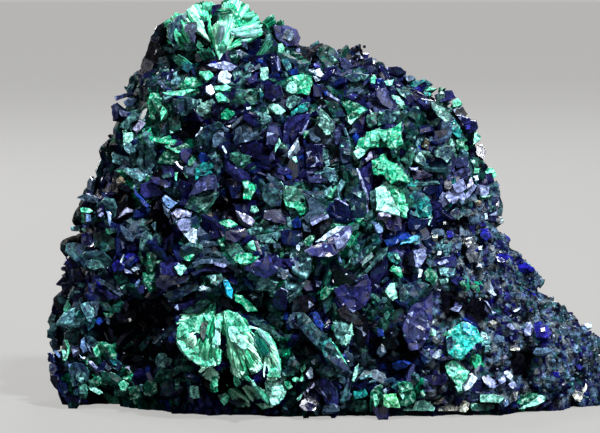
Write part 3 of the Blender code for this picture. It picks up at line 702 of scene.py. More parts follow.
# The front's own crystals: colour, how far they stand off the core (mm), and the outline of the face in pixels.
FACETS = (
    # the long diagonal blade and its neighbours
    ("slategreen", 1.7, (296, 312, 304, 312, 318, 328, 334, 346, 350, 368, 346, 372, 330, 360, 312, 342, 298, 326)),
    ("blue", 2.0, (311, 312, 317, 312, 324, 326, 322, 331, 315, 324)),
    ("teal", 2.1, (320, 342, 330, 338, 336, 350, 338, 358, 332, 362, 324, 356)),
    ("mint", 2.2, (329, 336, 334, 343, 343, 358, 349, 368, 345, 367, 336, 352)),
    ("greygreen", 1.5, (333, 322, 346, 320, 352, 318, 353, 330, 350, 344, 342, 346, 334, 334)),
    ("mintwhite", 1.9, (346, 334, 352, 322, 353, 334, 346, 346, 343, 344)),
    ("black", 1.2, (352, 318, 366, 312, 368, 330, 364, 350, 356, 344)),
    # behind the right edge
    ("deep", 0.2, (470, 176, 492, 172, 499, 200, 496, 222, 474, 220)),
    ("slategreen", 0.5, (486, 186, 497, 180, 503, 204, 502, 216, 490, 214)),
    # crown and upper left
    ("black", 0.8, (150, 40, 157, 26, 168, 19, 171, 32, 160, 44)),
    ("black", 1.0, (144, 58, 150, 40, 160, 44, 166, 50, 158, 64)),
    ("deep", 0.8, (140, 67, 144, 56, 156, 62, 152, 73)),
    ("greygreen", 1.0, (163, 46, 176, 49, 175, 55, 166, 51)),
    ("greygreen", 1.2, (167, 59, 181, 55, 193, 50, 195, 57, 190, 61, 174, 68)),
    ("palegreen", 1.5, (174, 60, 184, 57, 192, 53, 188, 58, 177, 63)),
    ("slategreen", 1.0, (158, 58, 166, 55, 170, 66, 168, 76, 160, 72)),
    ("teal", 1.0, (181, 63, 188, 61, 193, 68, 188, 73, 182, 69)),
    ("slate", 1.0, (196, 51, 204, 49, 206, 56, 200, 63, 196, 62)),
    ("black", 0.9, (193, 68, 214, 66, 218, 71, 200, 72)),
    ("lavender", 1.2, (207, 65, 218, 62, 228, 62, 238, 66, 232, 71, 219, 69)),
    ("white", 1.6, (218, 76, 221, 71, 227, 70, 232, 75, 231, 82, 225, 84, 219, 82)),
    ("darkgreen", 1.2, (220, 59, 234, 49, 241, 57, 237, 64)),
    ("white", 1.5, (234, 51, 240, 50, 237, 58)),
    ("slate", 0.9, (240, 41, 248, 42, 248, 50, 242, 47)),
    ("navy", 0.8, (246, 46, 260, 38, 264, 50, 254, 58, 246, 56)),
    ("teal", 1.0, (245, 68, 251, 61, 250, 66, 246, 71)),
    ("violet", 1.1, (244, 78, 257, 74, 257, 81, 250, 84)),
    ("slate", 1.2, (246, 71, 260, 63, 262, 68, 251, 72)),
    ("greygreen", 1.0, (233, 72, 242, 70, 243, 77, 234, 81)),
    ("mint", 1.4, (200, 71, 210, 71, 214, 76, 207, 81, 199, 74)),
    ("bright", 1.1, (184, 82, 186, 77, 196, 78, 204, 84, 196, 87, 186, 86)),
    ("slate", 1.0, (157, 81, 164, 79, 167, 84, 160, 86)),
    ("aqua", 1.0, (173, 73, 177, 71, 176, 81, 173, 83)),
    ("navy", 1.0, (166, 72, 173, 70, 172, 84, 167, 80)),
    ("violet", 1.0, (273, 26, 286, 25, 297, 29, 301, 38, 298, 46, 286, 46, 276, 38)),
    ("slate", 1.3, (279, 31, 290, 29, 296, 36, 290, 41, 281, 38)),
    ("black", 0.8, (263, 22, 274, 24, 273, 32, 265, 29)),
    ("greygreen", 1.1, (266, 35, 270, 34, 273, 47, 268, 50, 264, 44)),
    ("mint", 1.5, (278, 44, 282, 43, 285, 48, 281, 56, 278, 55)),
    ("black", 1.0, (302, 47, 306, 46, 313, 55, 309, 64, 301, 64)),
    ("lavender", 1.3, (296, 49, 300, 48, 299, 54, 296, 54)),
    ("darkgreen", 1.2, (316, 54, 319, 47, 326, 44, 335, 49, 340, 57, 337, 63, 328, 68, 321, 61)),
    ("sky", 1.4, (327, 45, 335, 49, 341, 57, 337, 57, 331, 51)),
    ("royal", 1.0, (314, 63, 322, 64, 319, 68, 315, 68)),
    ("black", 0.9, (338, 51, 345, 49, 352, 56, 351, 63, 346, 58)),
    ("black", 0.9, (353, 57, 359, 51, 364, 54, 364, 58, 360, 63, 356, 67)),
    ("mauve", 1.3, (339, 58, 345, 57, 353, 66, 346, 71, 341, 66)),
    ("deep", 1.0, (364, 59, 372, 57, 373, 68, 366, 68)),
    ("mintwhite", 1.0, (260, 68, 268, 67, 269, 78, 261, 82)),
    ("teal", 1.1, (281, 59, 288, 58, 292, 68, 287, 71, 283, 64)),
    ("navy", 1.0, (271, 57, 277, 56, 278, 77, 271, 77)),
    ("lavender", 1.3, (276, 56, 278, 56, 280, 71, 278, 71)),
    ("blue", 1.0, (288, 71, 298, 68, 296, 74, 290, 75)),
    ("bright", 1.2, (286, 84, 288, 78, 300, 74, 312, 76, 313, 84, 309, 95, 302, 93, 294, 94, 286, 91)),
    ("mintwhite", 1.6, (286, 88, 289, 82, 296, 80, 297, 92, 293, 94, 286, 91)),
    ("white", 1.5, (309, 70, 320, 68, 324, 74, 321, 77, 314, 73)),
    ("white", 1.4, (313, 76, 316, 76, 319, 81, 316, 82)),
    ("slate", 1.1, (324, 71, 330, 71, 332, 76, 328, 77)),
    ("greygreen", 1.2, (344, 76, 358, 73, 369, 75, 364, 81, 352, 82)),
    ("slate", 1.2, (368, 59, 376, 58, 377, 60, 375, 64, 369, 64)),
    ("deep", 1.2, (381, 68, 397, 66, 402, 68, 405, 73, 397, 76, 389, 73)),
    ("white", 1.5, (385, 72, 389, 72, 388, 76)),
    ("mint", 1.2, (371, 78, 374, 74, 376, 76, 375, 84, 371, 83)),
    ("blue", 1.3, (376, 79, 382, 78, 384, 82, 378, 84)),
    ("mintwhite", 1.3, (384, 81, 394, 79, 392, 85, 386, 85)),
    ("teal", 1.2, (409, 81, 426, 79, 433, 84, 425, 88, 410, 85)),
    ("slate", 1.1, (403, 77, 411, 75, 416, 79, 408, 82)),
    ("slate", 1.5, (184, 24, 196, 22, 198, 32, 190, 34, 184, 32)),
    ("lavender", 1.8, (188, 34, 193, 31, 196, 37, 195, 42, 190, 41)),
    ("black", 0.9, (201, 36, 204, 27, 211, 34, 209, 43, 206, 46)),
    ("mint", 1.6, (197, 40, 204, 46, 200, 50, 196, 46)),
    ("greygreen", 1.2, (183, 44, 195, 42, 197, 50, 186, 52)),
    ("deep", 2.0, (212, 5, 222, 4, 223, 17, 212, 18)),
    ("sky", 2.2, (212, 6, 216, 5, 215, 12, 212, 13)),
    # left arm
    ("aqua", 1.1, (131, 84, 135, 84, 131, 94, 127, 98, 128, 91)),
    ("sky", 1.2, (123, 102, 128, 98, 137, 99, 133, 105, 125, 106)),
    ("greygreen", 1.0, (125, 107, 136, 105, 135, 109, 126, 111)),
    ("mauve", 0.9, (114, 97, 123, 94, 123, 98, 116, 101)),
    ("deep", 0.9, (111, 106, 118, 102, 119, 118, 113, 121)),
    ("lavender", 1.2, (119, 110, 122, 110, 121, 116)),
    ("greygreen", 1.1, (121, 124, 128, 116, 135, 112, 139, 118, 129, 124, 127, 130, 119, 127)),
    ("pink", 1.5, (132, 129, 140, 120, 146, 123, 137, 133)),
    ("mintwhite", 1.3, (123, 133, 132, 132, 133, 140, 129, 143, 123, 142)),
    ("aqua", 1.2, (123, 142, 131, 143, 136, 152, 130, 155, 124, 149)),
    ("bright", 1.2, (143, 134, 151, 127, 152, 139, 147, 142)),
    ("bright", 1.3, (147, 104, 150, 93, 159, 93, 160, 102, 168, 111, 164, 115, 160, 121, 150, 118)),
    ("mint", 1.6, (163, 105, 167, 111, 165, 115, 161, 121, 160, 112)),
    ("aqua", 1.3, (111, 155, 115, 150, 126, 155, 135, 160, 140, 168, 130, 168, 120, 165, 112, 162)),
    ("slate", 1.4, (118, 156, 126, 160, 131, 166, 122, 164)),
    ("mint", 1.4, (162, 92, 173, 91, 196, 87, 195, 90, 186, 94, 178, 96, 164, 94)),
    ("emerald", 1.1, (178, 84, 199, 84, 196, 88, 181, 90)),
    ("white", 1.7, (206, 86, 211, 84, 215, 92, 211, 95, 206, 92)),
    ("mint", 1.3, (213, 86, 227, 84, 232, 87, 225, 91, 216, 90)),
    ("mint", 1.6, (215, 94, 220, 92, 226, 97, 225, 101, 218, 102)),
    ("deep", 1.1, (212, 103, 224, 101, 221, 111, 217, 117, 211, 112)),
    ("moss", 1.2, (226, 95, 241, 90, 256, 88, 262, 92, 261, 104, 246, 105, 232, 105)),
    ("slategreen", 0.9, (172, 99, 188, 97, 199, 101, 196, 111, 186, 116, 174, 112)),
    ("white", 1.5, (246, 107, 251, 106, 251, 109, 247, 110)),
    ("palegreen", 1.5, (196, 111, 201, 102, 209, 105, 210, 112, 203, 117, 197, 116)),
    ("bright", 1.2, (221, 114, 226, 109, 231, 112, 235, 114, 228, 120, 221, 119)),
    ("black", 0.4, (181, 127, 190, 124, 196, 130, 193, 140, 184, 139)),
    ("white", 1.5, (195, 137, 199, 133, 203, 127, 201, 127, 198, 133)),
    ("slategreen", 1.2, (196, 146, 200, 135, 204, 128, 218, 122, 224, 126, 213, 134, 211, 147, 206, 153, 198, 152)),
    ("slate", 1.4, (213, 135, 220, 130, 224, 132, 223, 140, 216, 148, 212, 147)),
    ("slate", 1.3, (235, 130, 246, 123, 252, 125, 253, 140, 238, 144, 233, 141)),
    ("deep", 1.5, (233, 141, 240, 134, 239, 143, 235, 146)),
    ("deep", 1.2, (238, 146, 256, 142, 262, 147, 262, 161, 250, 157, 241, 151)),
    ("bright", 1.2, (150, 136, 159, 140, 170, 135, 179, 143, 177, 146, 161, 143, 150, 141)),
    ("mint", 1.3, (164, 146, 171, 149, 181, 151, 179, 153, 173, 151)),
    ("aqua", 1.2, (150, 146, 154, 148, 157, 155, 155, 157, 151, 151)),
    ("navy", 1.2, (159, 152, 168, 152, 171, 156, 162, 157)),
    ("emerald", 1.3, (188, 161, 193, 155, 196, 159, 193, 165, 188, 165)),
    ("white", 1.3, (223, 145, 227, 152, 226, 154, 222, 147)),
    ("moss", 1.2, (229, 154, 238, 152, 243, 160, 238, 164, 231, 160)),
    ("greygreen", 1.1, (207, 155, 216, 151, 217, 158, 211, 160)),
    ("teal", 1.1, (196, 167, 203, 162, 213, 163, 213, 168, 204, 171)),
    ("darkgreen", 0.9, (168, 118, 180, 115, 180, 130, 170, 134)),
    # upper middle
    ("greygreen", 1.3, (288, 97, 294, 95, 300, 97, 301, 101, 290, 110, 286, 106)),
    ("mintwhite", 1.4, (271, 109, 273, 103, 278, 104, 286, 111, 281, 115, 276, 114)),
    ("teal", 1.1, (291, 112, 303, 103, 310, 102, 308, 111, 300, 113, 291, 116)),
    ("mauve", 1.5, (267, 132, 271, 121, 276, 124, 280, 135, 275, 145, 266, 145)),
    ("violet", 1.1, (284, 130, 287, 117, 310, 113, 309, 121, 303, 133, 287, 156, 278, 160, 283, 140)),
    ("deep", 1.3, (289, 134, 294, 124, 306, 117, 302, 128, 292, 142)),
    ("white", 1.7, (288, 158, 288, 152, 298, 137, 299, 142, 294, 150)),
    ("lavender", 1.4, (300, 134, 306, 124, 310, 117, 307, 126, 302, 135)),
    ("mintwhite", 1.2, (291, 157, 296, 156, 298, 162, 296, 163)),
    ("emerald", 1.2, (303, 130, 308, 130, 308, 134, 304, 138)),
    ("slate", 1.4, (309, 134, 314, 133, 321, 140, 316, 143, 311, 140)),
    ("deep", 1.1, (307, 144, 323, 144, 323, 166, 306, 168, 306, 152)),
    ("palegreen", 1.4, (316, 109, 319, 107, 328, 115, 334, 124, 334, 131, 328, 135, 323, 130, 318, 125, 320, 117)),
    ("mintwhite", 1.7, (320, 111, 326, 115, 330, 122, 325, 118)),
    ("mintwhite", 1.5, (323, 131, 328, 128, 331, 134, 326, 135)),
    ("darkgreen", 0.9, (324, 100, 338, 102, 346, 116, 332, 118)),
    ("mauve", 1.4, (333, 134, 338, 126, 341, 134, 339, 143, 336, 145)),
    ("darkgreen", 1.1, (341, 136, 353, 139, 355, 148, 352, 162, 342, 164, 339, 148)),
    ("aqua", 1.3, (344, 141, 350, 140, 351, 147, 346, 148)),
    ("mint", 1.4, (341, 143, 345, 142, 344, 147, 341, 147)),
    ("greygreen", 1.3, (343, 148, 351, 149, 350, 155, 344, 154)),
    ("darkgreen", 1.0, (340, 165, 352, 164, 353, 172, 342, 175)),
    ("moss", 1.1, (367, 114, 377, 111, 377, 124, 370, 128, 366, 122)),
    ("deep", 1.1, (357, 108, 366, 112, 364, 128, 356, 136, 352, 128)),
    ("moss", 1.2, (402, 150, 412, 148, 414, 158, 408, 166, 400, 160)),
    ("darkgreen", 1.1, (390, 150, 400, 149, 399, 158, 392, 158)),
    ("emerald", 1.3, (341, 102, 353, 102, 360, 105, 368, 110, 359, 117, 351, 125, 349, 121, 346, 112)),
    ("mint", 1.5, (350, 105, 358, 106, 366, 110, 360, 114, 352, 112)),
    ("mintwhite", 1.7, (347, 115, 349, 120, 360, 116, 351, 125, 348, 122)),
    ("slate", 1.1, (348, 134, 353, 128, 357, 129, 353, 133)),
    ("greygreen", 1.2, (319, 155, 323, 148, 328, 150, 328, 158, 323, 160)),
    ("aqua", 1.0, (324, 161, 338, 158, 340, 164, 326, 167)),
    ("blue", 1.3, (323, 91, 328, 90, 329, 95, 325, 96)),
    ("lavender", 1.3, (328, 92, 340, 100, 339, 102, 327, 95)),
    ("teal", 1.1, (260, 88, 264, 95, 263, 103, 260, 102)),
    ("greygreen", 1.2, (260, 116, 271, 117, 267, 122, 260, 121)),
    ("mintwhite", 1.3, (275, 148, 279, 138, 281, 143, 275, 153)),
    ("deep", 1.0, (264, 86, 281, 85, 284, 96, 272, 102, 264, 98)),
    ("navy", 0.9, (313, 84, 322, 84, 328, 90, 322, 98, 313, 96)),
    ("mintwhite", 1.7, (374, 130, 380, 127, 379, 135, 374, 136)),
    ("mint", 1.7, (366, 132, 376, 131, 378, 143, 372, 147, 364, 146)),
    ("mint", 1.7, (379, 133, 391, 128, 391, 137, 384, 142)),
    ("bright", 1.4, (355, 148, 360, 138, 366, 135, 372, 130, 378, 128, 390, 130, 388, 147, 370, 148, 360, 157)),
    ("bright", 1.5, (388, 131, 395, 126, 402, 121, 401, 134, 403, 144, 392, 150, 387, 147)),
    ("mintwhite", 1.7, (353, 152, 358, 146, 365, 150, 365, 154, 358, 159)),
    ("mint", 1.8, (371, 131, 380, 129, 385, 134, 378, 142, 371, 141)),
    ("pink", 1.3, (365, 159, 371, 151, 373, 158, 367, 162)),
    # upper right
    ("mauve", 1.5, (376, 89, 386, 87, 390, 97, 398, 107, 396, 111, 391, 110, 383, 105, 377, 96)),
    ("mintwhite", 1.5, (391, 95, 394, 93, 401, 99, 405, 105, 400, 105, 394, 100)),
    ("deep", 1.0, (406, 95, 416, 94, 417, 101, 408, 102)),
    ("greygreen", 1.1, (395, 88, 404, 90, 407, 100, 401, 95)),
    ("teal", 1.2, (414, 93, 425, 90, 433, 95, 424, 97)),
    ("mint", 1.3, (420, 88, 431, 87, 438, 88, 433, 90, 424, 90)),
    ("emerald", 1.2, (439, 87, 446, 88, 442, 91, 438, 90)),
    ("violet", 1.2, (434, 95, 447, 90, 452, 90, 456, 97, 451, 100, 441, 102)),
    ("white", 1.6, (440, 95, 444, 98, 441, 99)),
    ("mint", 1.2, (452, 102, 458, 98, 463, 104, 459, 106, 453, 107)),
    ("blue", 1.3, (424, 100, 429, 100, 430, 105, 426, 105)),
    ("palegreen", 1.1, (431, 102, 441, 106, 449, 110, 454, 119, 447, 124, 438, 116, 432, 108)),
    ("black", 1.0, (453, 110, 463, 106, 468, 114, 463, 120, 456, 115)),
    ("violet", 1.1, (456, 115, 468, 118, 476, 121, 477, 130, 470, 134, 464, 131, 463, 124)),
    ("royal", 1.4, (465, 125, 470, 124, 471, 129, 466, 129)),
    ("teal", 1.3, (448, 122, 455, 120, 463, 130, 465, 138, 458, 138, 450, 130)),
    ("mintwhite", 1.3, (475, 131, 481, 136, 480, 140, 473, 145, 473, 140)),
    ("navy", 1.1, (434, 131, 447, 128, 449, 140, 441, 146, 434, 141)),
    ("emerald", 1.3, (456, 140, 463, 138, 465, 148, 464, 152, 457, 150)),
    ("tan", 1.2, (422, 147, 426, 138, 430, 141, 428, 150)),
    ("palegreen", 1.3, (434, 152, 443, 146, 452, 145, 456, 150, 453, 157, 447, 163, 443, 159, 436, 157)),
    ("mintwhite", 1.6, (450, 145, 452, 138, 454, 145, 452, 148)),
    ("palegreen", 1.4, (414, 160, 417, 154, 422, 151, 426, 160, 424, 166, 416, 162)),
    ("aqua", 1.4, (416, 145, 418, 138, 420, 141, 417, 147)),
    ("aqua", 1.4, (412, 152, 415, 148, 415, 153, 412, 156)),
    ("darkgreen", 1.1, (403, 120, 412, 107, 418, 106, 421, 114, 420, 134, 413, 140, 404, 136)),
    ("darkgreen", 1.3, (404, 140, 416, 135, 416, 146, 410, 158, 402, 162)),
    ("bright", 1.6, (371, 160, 379, 157, 384, 153, 388, 160, 398, 165, 407, 175, 411, 181, 408, 183, 399, 180,
                     391, 184, 386, 179, 384, 175, 373, 174)),
    ("mint", 1.9, (378, 162, 386, 160, 396, 167, 404, 177, 396, 176, 386, 170, 377, 169)),
    ("mauve", 1.2, (455, 158, 467, 156, 468, 167, 456, 168)),
    ("moss", 1.2, (470, 159, 478, 160, 479, 168, 471, 168)),
    ("deep", 1.0, (476, 146, 482, 143, 486, 152, 484, 160, 477, 155)),
    ("moss", 1.2, (378, 112, 384, 111, 389, 116, 386, 124, 378, 126)),
    ("greygreen", 1.3, (384, 110, 395, 110, 399, 117, 392, 124, 387, 124, 389, 116)),
    ("darkgreen", 1.2, (396, 111, 404, 112, 403, 120, 398, 124, 395, 122)),
    # left middle
    ("aqua", 1.4, (123, 169, 129, 168, 138, 168, 143, 173, 148, 174, 146, 179, 140, 182, 135, 179, 127, 174)),
    ("tan", 1.0, (116, 180, 121, 176, 124, 179, 121, 183, 117, 184)),
    ("blue", 1.3, (133, 189, 136, 185, 135, 190, 140, 196, 150, 206, 147, 208, 140, 200, 134, 194)),
    ("pink", 1.5, (118, 218, 122, 212, 127, 207, 133, 210, 132, 212, 125, 214)),
    ("pink", 1.4, (97, 211, 100, 208, 102, 209, 98, 213)),
    ("lavender", 1.3, (98, 216, 101, 212, 104, 214, 101, 217)),
    ("sky", 1.3, (106, 211, 110, 211, 111, 218, 110, 227, 108, 219)),
    ("mint", 1.4, (105, 231, 106, 228, 109, 230, 113, 233, 107, 234)),
    ("mint", 1.4, (80, 208, 83, 207, 89, 208, 93, 211, 89, 213, 81, 212)),
    ("bright", 1.4, (81, 213, 86, 214, 84, 223, 81, 222)),
    ("sky", 1.3, (86, 214, 91, 215, 91, 221, 86, 222)),
    ("mintwhite", 1.4, (81, 229, 84, 227, 89, 228, 88, 231, 84, 232)),
    ("royal", 1.2, (81, 233, 90, 232, 92, 237, 90, 247, 83, 246, 81, 240)),
    ("lavender", 1.5, (84, 236, 87, 236, 86, 241, 83, 240)),
    ("blue", 1.3, (82, 224, 89, 224, 89, 227, 83, 227)),
    ("aqua", 1.2, (70, 227, 79, 226, 80, 231, 71, 231)),
    ("slate", 1.2, (76, 198, 86, 193, 98, 198, 97, 203, 84, 201)),
    ("darkgreen", 1.1, (93, 234, 105, 232, 115, 239, 116, 249, 104, 252, 94, 246)),
    ("lavender", 1.3, (120, 239, 122, 239, 125, 248, 122, 249)),
    ("slate", 1.0, (120, 224, 126, 229, 135, 237, 133, 242, 127, 241, 121, 231)),
    ("violet", 1.2, (150, 176, 158, 177, 170, 183, 170, 187, 164, 187, 152, 182)),
    ("lavender", 1.6, (164, 185, 168, 185, 168, 187, 165, 188)),
    ("greygreen", 1.1, (161, 176, 170, 172, 172, 177, 164, 179)),
    ("mint", 1.3, (175, 172, 178, 172, 177, 181, 175, 180)),
    ("mint", 1.3, (183, 172, 190, 173, 187, 178, 185, 176)),
    ("teal", 1.2, (195, 168, 208, 168, 213, 173, 200, 176, 195, 181)),
    ("mauve", 1.4, (194, 186, 200, 178, 208, 175, 216, 176, 218, 185, 216, 189, 203, 191, 188, 197, 193, 189)),
    ("moss", 1.5, (185, 208, 190, 198, 200, 194, 216, 191, 220, 194, 215, 202, 208, 210, 204, 214, 195, 211)),
    ("palegreen", 1.8, (188, 205, 192, 200, 206, 196, 217, 194, 206, 199, 194, 204)),
    ("palegreen", 1.8, (195, 209, 203, 204, 212, 201, 207, 207, 200, 211)),
    ("sky", 1.9, (162, 198, 165, 195, 178, 203, 170, 209, 165, 205)),
    ("slate", 1.7, (162, 203, 165, 206, 170, 210, 167, 216, 164, 213)),
    ("lavender", 2.0, (171, 213, 176, 208, 187, 210, 192, 212, 190, 217, 184, 217, 178, 221, 174, 222)),
    ("lavender", 2.0, (175, 222, 183, 218, 190, 219, 192, 223, 188, 231, 181, 231)),
    ("pink", 2.3, (173, 213, 177, 210, 186, 211, 183, 215, 177, 219)),
    ("violet", 1.9, (172, 217, 175, 222, 181, 232, 177, 229)),
    ("white", 1.9, (183, 234, 190, 231, 193, 228, 197, 230, 196, 244, 190, 242)),
    ("tan", 1.3, (205, 221, 207, 214, 211, 212, 213, 219, 212, 225, 208, 225)),
    ("bright", 1.4, (216, 224, 221, 221, 231, 220, 238, 225, 228, 229, 218, 227)),
    ("mint", 1.6, (222, 224, 229, 222, 233, 225, 227, 227)),
    ("deep", 1.2, (198, 242, 203, 234, 218, 230, 235, 227, 236, 230, 218, 238, 204, 242)),
    ("emerald", 1.3, (218, 240, 222, 240, 225, 247, 220, 246)),
    ("navy", 0.9, (225, 179, 241, 180, 242, 198, 232, 199)),
    ("bright", 1.3, (242, 181, 248, 181, 255, 186, 255, 191, 250, 200, 243, 199, 244, 189)),
    ("mintwhite", 1.7, (243, 182, 247, 182, 249, 189, 245, 188)),
    ("navy", 1.3, (232, 203, 250, 205, 257, 212, 255, 216, 245, 214, 235, 209)),
    ("mintwhite", 1.6, (251, 206, 256, 206, 259, 211, 255, 213, 250, 211)),
    ("pink", 1.7, (235, 210, 238, 211, 250, 216, 255, 221, 252, 226, 243, 221)),
    ("deep", 1.1, (225, 232, 246, 228, 248, 236, 235, 243, 225, 239)),
    ("greygreen", 1.2, (248, 229, 255, 229, 255, 234, 251, 236)),
    ("mint", 1.5, (247, 244, 253, 240, 262, 246, 256, 251, 251, 249)),
    ("slate", 1.2, (197, 244, 214, 241, 217, 245, 198, 248)),
    ("greygreen", 1.1, (151, 225, 156, 221, 155, 231)),
    ("emerald", 1.1, (147, 252, 156, 252, 157, 260, 154, 269, 150, 272, 147, 262)),
    # middle
    ("slategreen", 1.4, (263, 186, 271, 182, 281, 181, 284, 186, 282, 199, 280, 206, 272, 207, 265, 202, 262, 198)),
    ("moss", 1.4, (283, 194, 285, 185, 294, 186, 303, 192, 309, 200, 296, 202, 284, 198)),
    ("mint", 1.7, (283, 198, 295, 202, 295, 208, 286, 206)),
    ("bright", 1.6, (295, 202, 305, 202, 308, 211, 301, 216, 295, 208)),
    ("slate", 1.7, (303, 193, 314, 198, 327, 208, 324, 213, 329, 216, 310, 225, 302, 218, 309, 211, 308, 202)),
    ("lavender", 2.0, (310, 223, 328, 214, 329, 217, 312, 226)),
    ("slategreen", 1.1, (304, 192, 324, 190, 324, 196, 328, 206, 317, 199)),
    ("mauve", 1.3, (306, 173, 311, 177, 319, 173, 322, 178, 328, 181, 320, 183, 309, 183)),
    ("aqua", 1.4, (323, 170, 325, 167, 335, 168, 335, 175, 335, 182, 330, 182, 325, 176)),
    ("deep", 1.2, (264, 210, 287, 208, 298, 211, 291, 221, 285, 225, 273, 222, 263, 218)),
    ("blue", 1.5, (291, 221, 297, 216, 300, 221, 301, 228, 294, 228)),
    ("slate", 1.1, (302, 223, 310, 227, 311, 232, 304, 231)),
    ("emerald", 1.3, (304, 240, 310, 235, 315, 235, 311, 245, 305, 246)),
    ("violet", 1.7, (306, 251, 313, 246, 325, 241, 335, 234, 345, 226, 351, 224, 353, 232, 350, 240, 343, 250,
                     333, 256, 318, 257, 309, 255)),
    ("lavender", 2.0, (334, 243, 343, 235, 350, 228, 351, 236, 344, 246, 337, 250)),
    ("white", 2.3, (315, 242, 324, 235, 337, 226, 345, 226, 335, 233, 324, 241)),
    ("lavender", 2.1, (304, 251, 313, 246, 313, 249, 306, 253)),
    ("black", 1.0, (311, 227, 330, 217, 335, 219, 331, 226, 319, 236, 312, 236)),
    ("navy", 1.4, (328, 211, 335, 199, 348, 206, 354, 218, 345, 222, 334, 219)),
    ("lavender", 1.7, (334, 199, 336, 198, 349, 205, 348, 206)),
    ("darkgreen", 1.0, (343, 168, 356, 168, 361, 182, 366, 198, 366, 222, 354, 222, 350, 206, 344, 196)),
    ("violet", 1.3, (358, 168, 372, 168, 372, 190, 369, 196, 363, 182)),
    ("lavender", 1.5, (356, 168, 358, 168, 364, 182, 369, 198, 369, 215, 367, 214, 366, 198, 361, 182)),
    ("greygreen", 1.5, (370, 192, 374, 190, 376, 208, 373, 222, 371, 215)),
    ("aqua", 1.3, (341, 179, 345, 182, 342, 189, 338, 196, 336, 188)),
    ("greygreen", 1.3, (260, 235, 271, 233, 272, 238, 277, 243, 268, 243, 260, 242)),
    ("aqua", 1.5, (271, 233, 279, 231, 277, 241, 273, 238)),
    ("navy", 0.9, (280, 231, 302, 229, 303, 239, 296, 246, 282, 243)),
    ("slate", 1.2, (273, 243, 280, 243, 281, 248, 274, 248)),
    ("white", 1.5, (296, 246, 300, 248, 299, 251, 296, 249)),
    ("white", 1.5, (358, 172, 361, 174, 361, 177, 358, 176)),
    ("mintwhite", 1.8, (375, 188, 380, 186, 384, 181, 387, 181, 391, 194, 395, 203, 400, 212, 400, 216, 384, 212,
                        376, 210, 376, 196)),
    ("bright", 1.6, (387, 183, 391, 184, 398, 187, 404, 191, 406, 202, 409, 210, 407, 218, 402, 217, 398, 208,
                     393, 198)),
    ("teal", 1.3, (408, 196, 415, 191, 424, 193, 429, 198, 432, 206, 432, 216, 420, 218, 409, 214)),
    ("navy", 1.3, (409, 215, 420, 219, 432, 218, 429, 225, 424, 229, 416, 230, 409, 230, 407, 223)),
    ("mintwhite", 1.6, (427, 221, 430, 215, 431, 221, 429, 226)),
    ("deep", 1.3, (377, 211, 384, 213, 400, 217, 402, 220, 402, 230, 395, 232, 387, 229, 382, 219)),
    ("pink", 1.7, (378, 213, 384, 212, 391, 214, 391, 217, 384, 216, 379, 216)),
    ("white", 1.7, (395, 216, 400, 217, 400, 219, 395, 219)),
    ("sky", 1.6, (375, 225, 379, 223, 383, 228, 383, 232, 378, 233, 376, 230)),
    ("teal", 1.3, (371, 238, 379, 236, 380, 241, 375, 243, 372, 242)),
    ("blue", 1.5, (383, 240, 395, 236, 408, 232, 412, 236, 403, 240, 391, 246, 387, 246)),
    ("cyan", 1.6, (402, 240, 412, 236, 418, 235, 417, 241, 408, 243, 400, 245)),
    ("aqua", 1.7, (416, 236, 420, 236, 420, 244, 415, 245, 412, 242)),
    # the lavender blade and the ledges beside it
    ("lavender", 1.6, (445, 196, 449, 190, 452, 193, 450, 203)),
    ("lavender", 1.7, (451, 189, 456, 184, 462, 188, 466, 196, 464, 201, 459, 198, 456, 203, 452, 204, 450, 197)),
    ("lavender", 2.0, (452, 185, 463, 179, 467, 188, 460, 194, 454, 190)),
    ("pink", 2.1, (463, 181, 472, 177, 474, 184, 467, 189)),
    ("lavender", 1.9, (467, 189, 474, 184, 477, 186, 470, 196, 465, 200, 463, 196)),
    ("white", 2.1, (473, 176, 478, 175, 479, 180, 475, 181)),
    ("mauve", 1.5, (453, 173, 463, 168, 470, 168, 472, 175, 463, 179, 454, 179)),
    ("mint", 1.2, (470, 168, 480, 168, 479, 173, 471, 173)),
    ("mint", 1.2, (480, 168, 493, 168, 497, 176, 490, 180, 481, 178)),
    ("deep", 1.1, (410, 169, 432, 169, 433, 176, 414, 181)),
    ("lavender", 1.4, (409, 167, 418, 167, 418, 170, 411, 170)),
    ("greygreen", 1.2, (413, 183, 438, 181, 440, 184, 415, 187)),
    ("navy", 1.4, (424, 187, 436, 184, 439, 188, 434, 193, 428, 195, 423, 191)),
    ("slategreen", 1.2, (450, 211, 460, 208, 471, 210, 473, 213, 463, 216, 455, 219, 450, 216)),
    ("tan", 0.9, (468, 201, 482, 201, 482, 206, 470, 206)),
    ("lavender", 1.2, (480, 188, 490, 186, 491, 193, 484, 197, 480, 195)),
    ("slate", 0.9, (494, 182, 498, 182, 500, 192, 497, 196, 494, 190)),
    ("slategreen", 0.9, (496, 196, 500, 195, 502, 206, 498, 212, 495, 204)),
    ("ash", 1.2, (481, 188, 486, 187, 487, 196, 482, 197)),
    ("mintwhite", 1.3, (487, 187, 492, 187, 492, 193, 489, 194)),
    ("mintwhite", 1.3, (480, 195, 492, 195, 489, 197, 481, 197)),
    ("ash", 1.1, (463, 211, 471, 209, 474, 214, 468, 217, 462, 216)),
    ("ash", 1.1, (451, 211, 458, 208, 461, 214, 459, 220, 452, 219)),
    ("white", 1.2, (484, 213, 487, 213, 488, 219, 485, 220)),
    ("ash", 1.0, (496, 218, 503, 218, 504, 223, 498, 224)),
    ("ash", 1.2, (466, 240, 473, 238, 476, 246, 474, 254, 467, 252)),
    ("white", 1.3, (467, 238, 472, 237, 472, 241, 468, 242)),
    ("white", 1.3, (478, 247, 483, 245, 482, 250, 479, 250)),
    ("ash", 1.2, (465, 253, 478, 252, 480, 262, 470, 263)),
    ("royal", 1.2, (480, 228, 488, 228, 492, 236, 486, 241, 480, 236)),
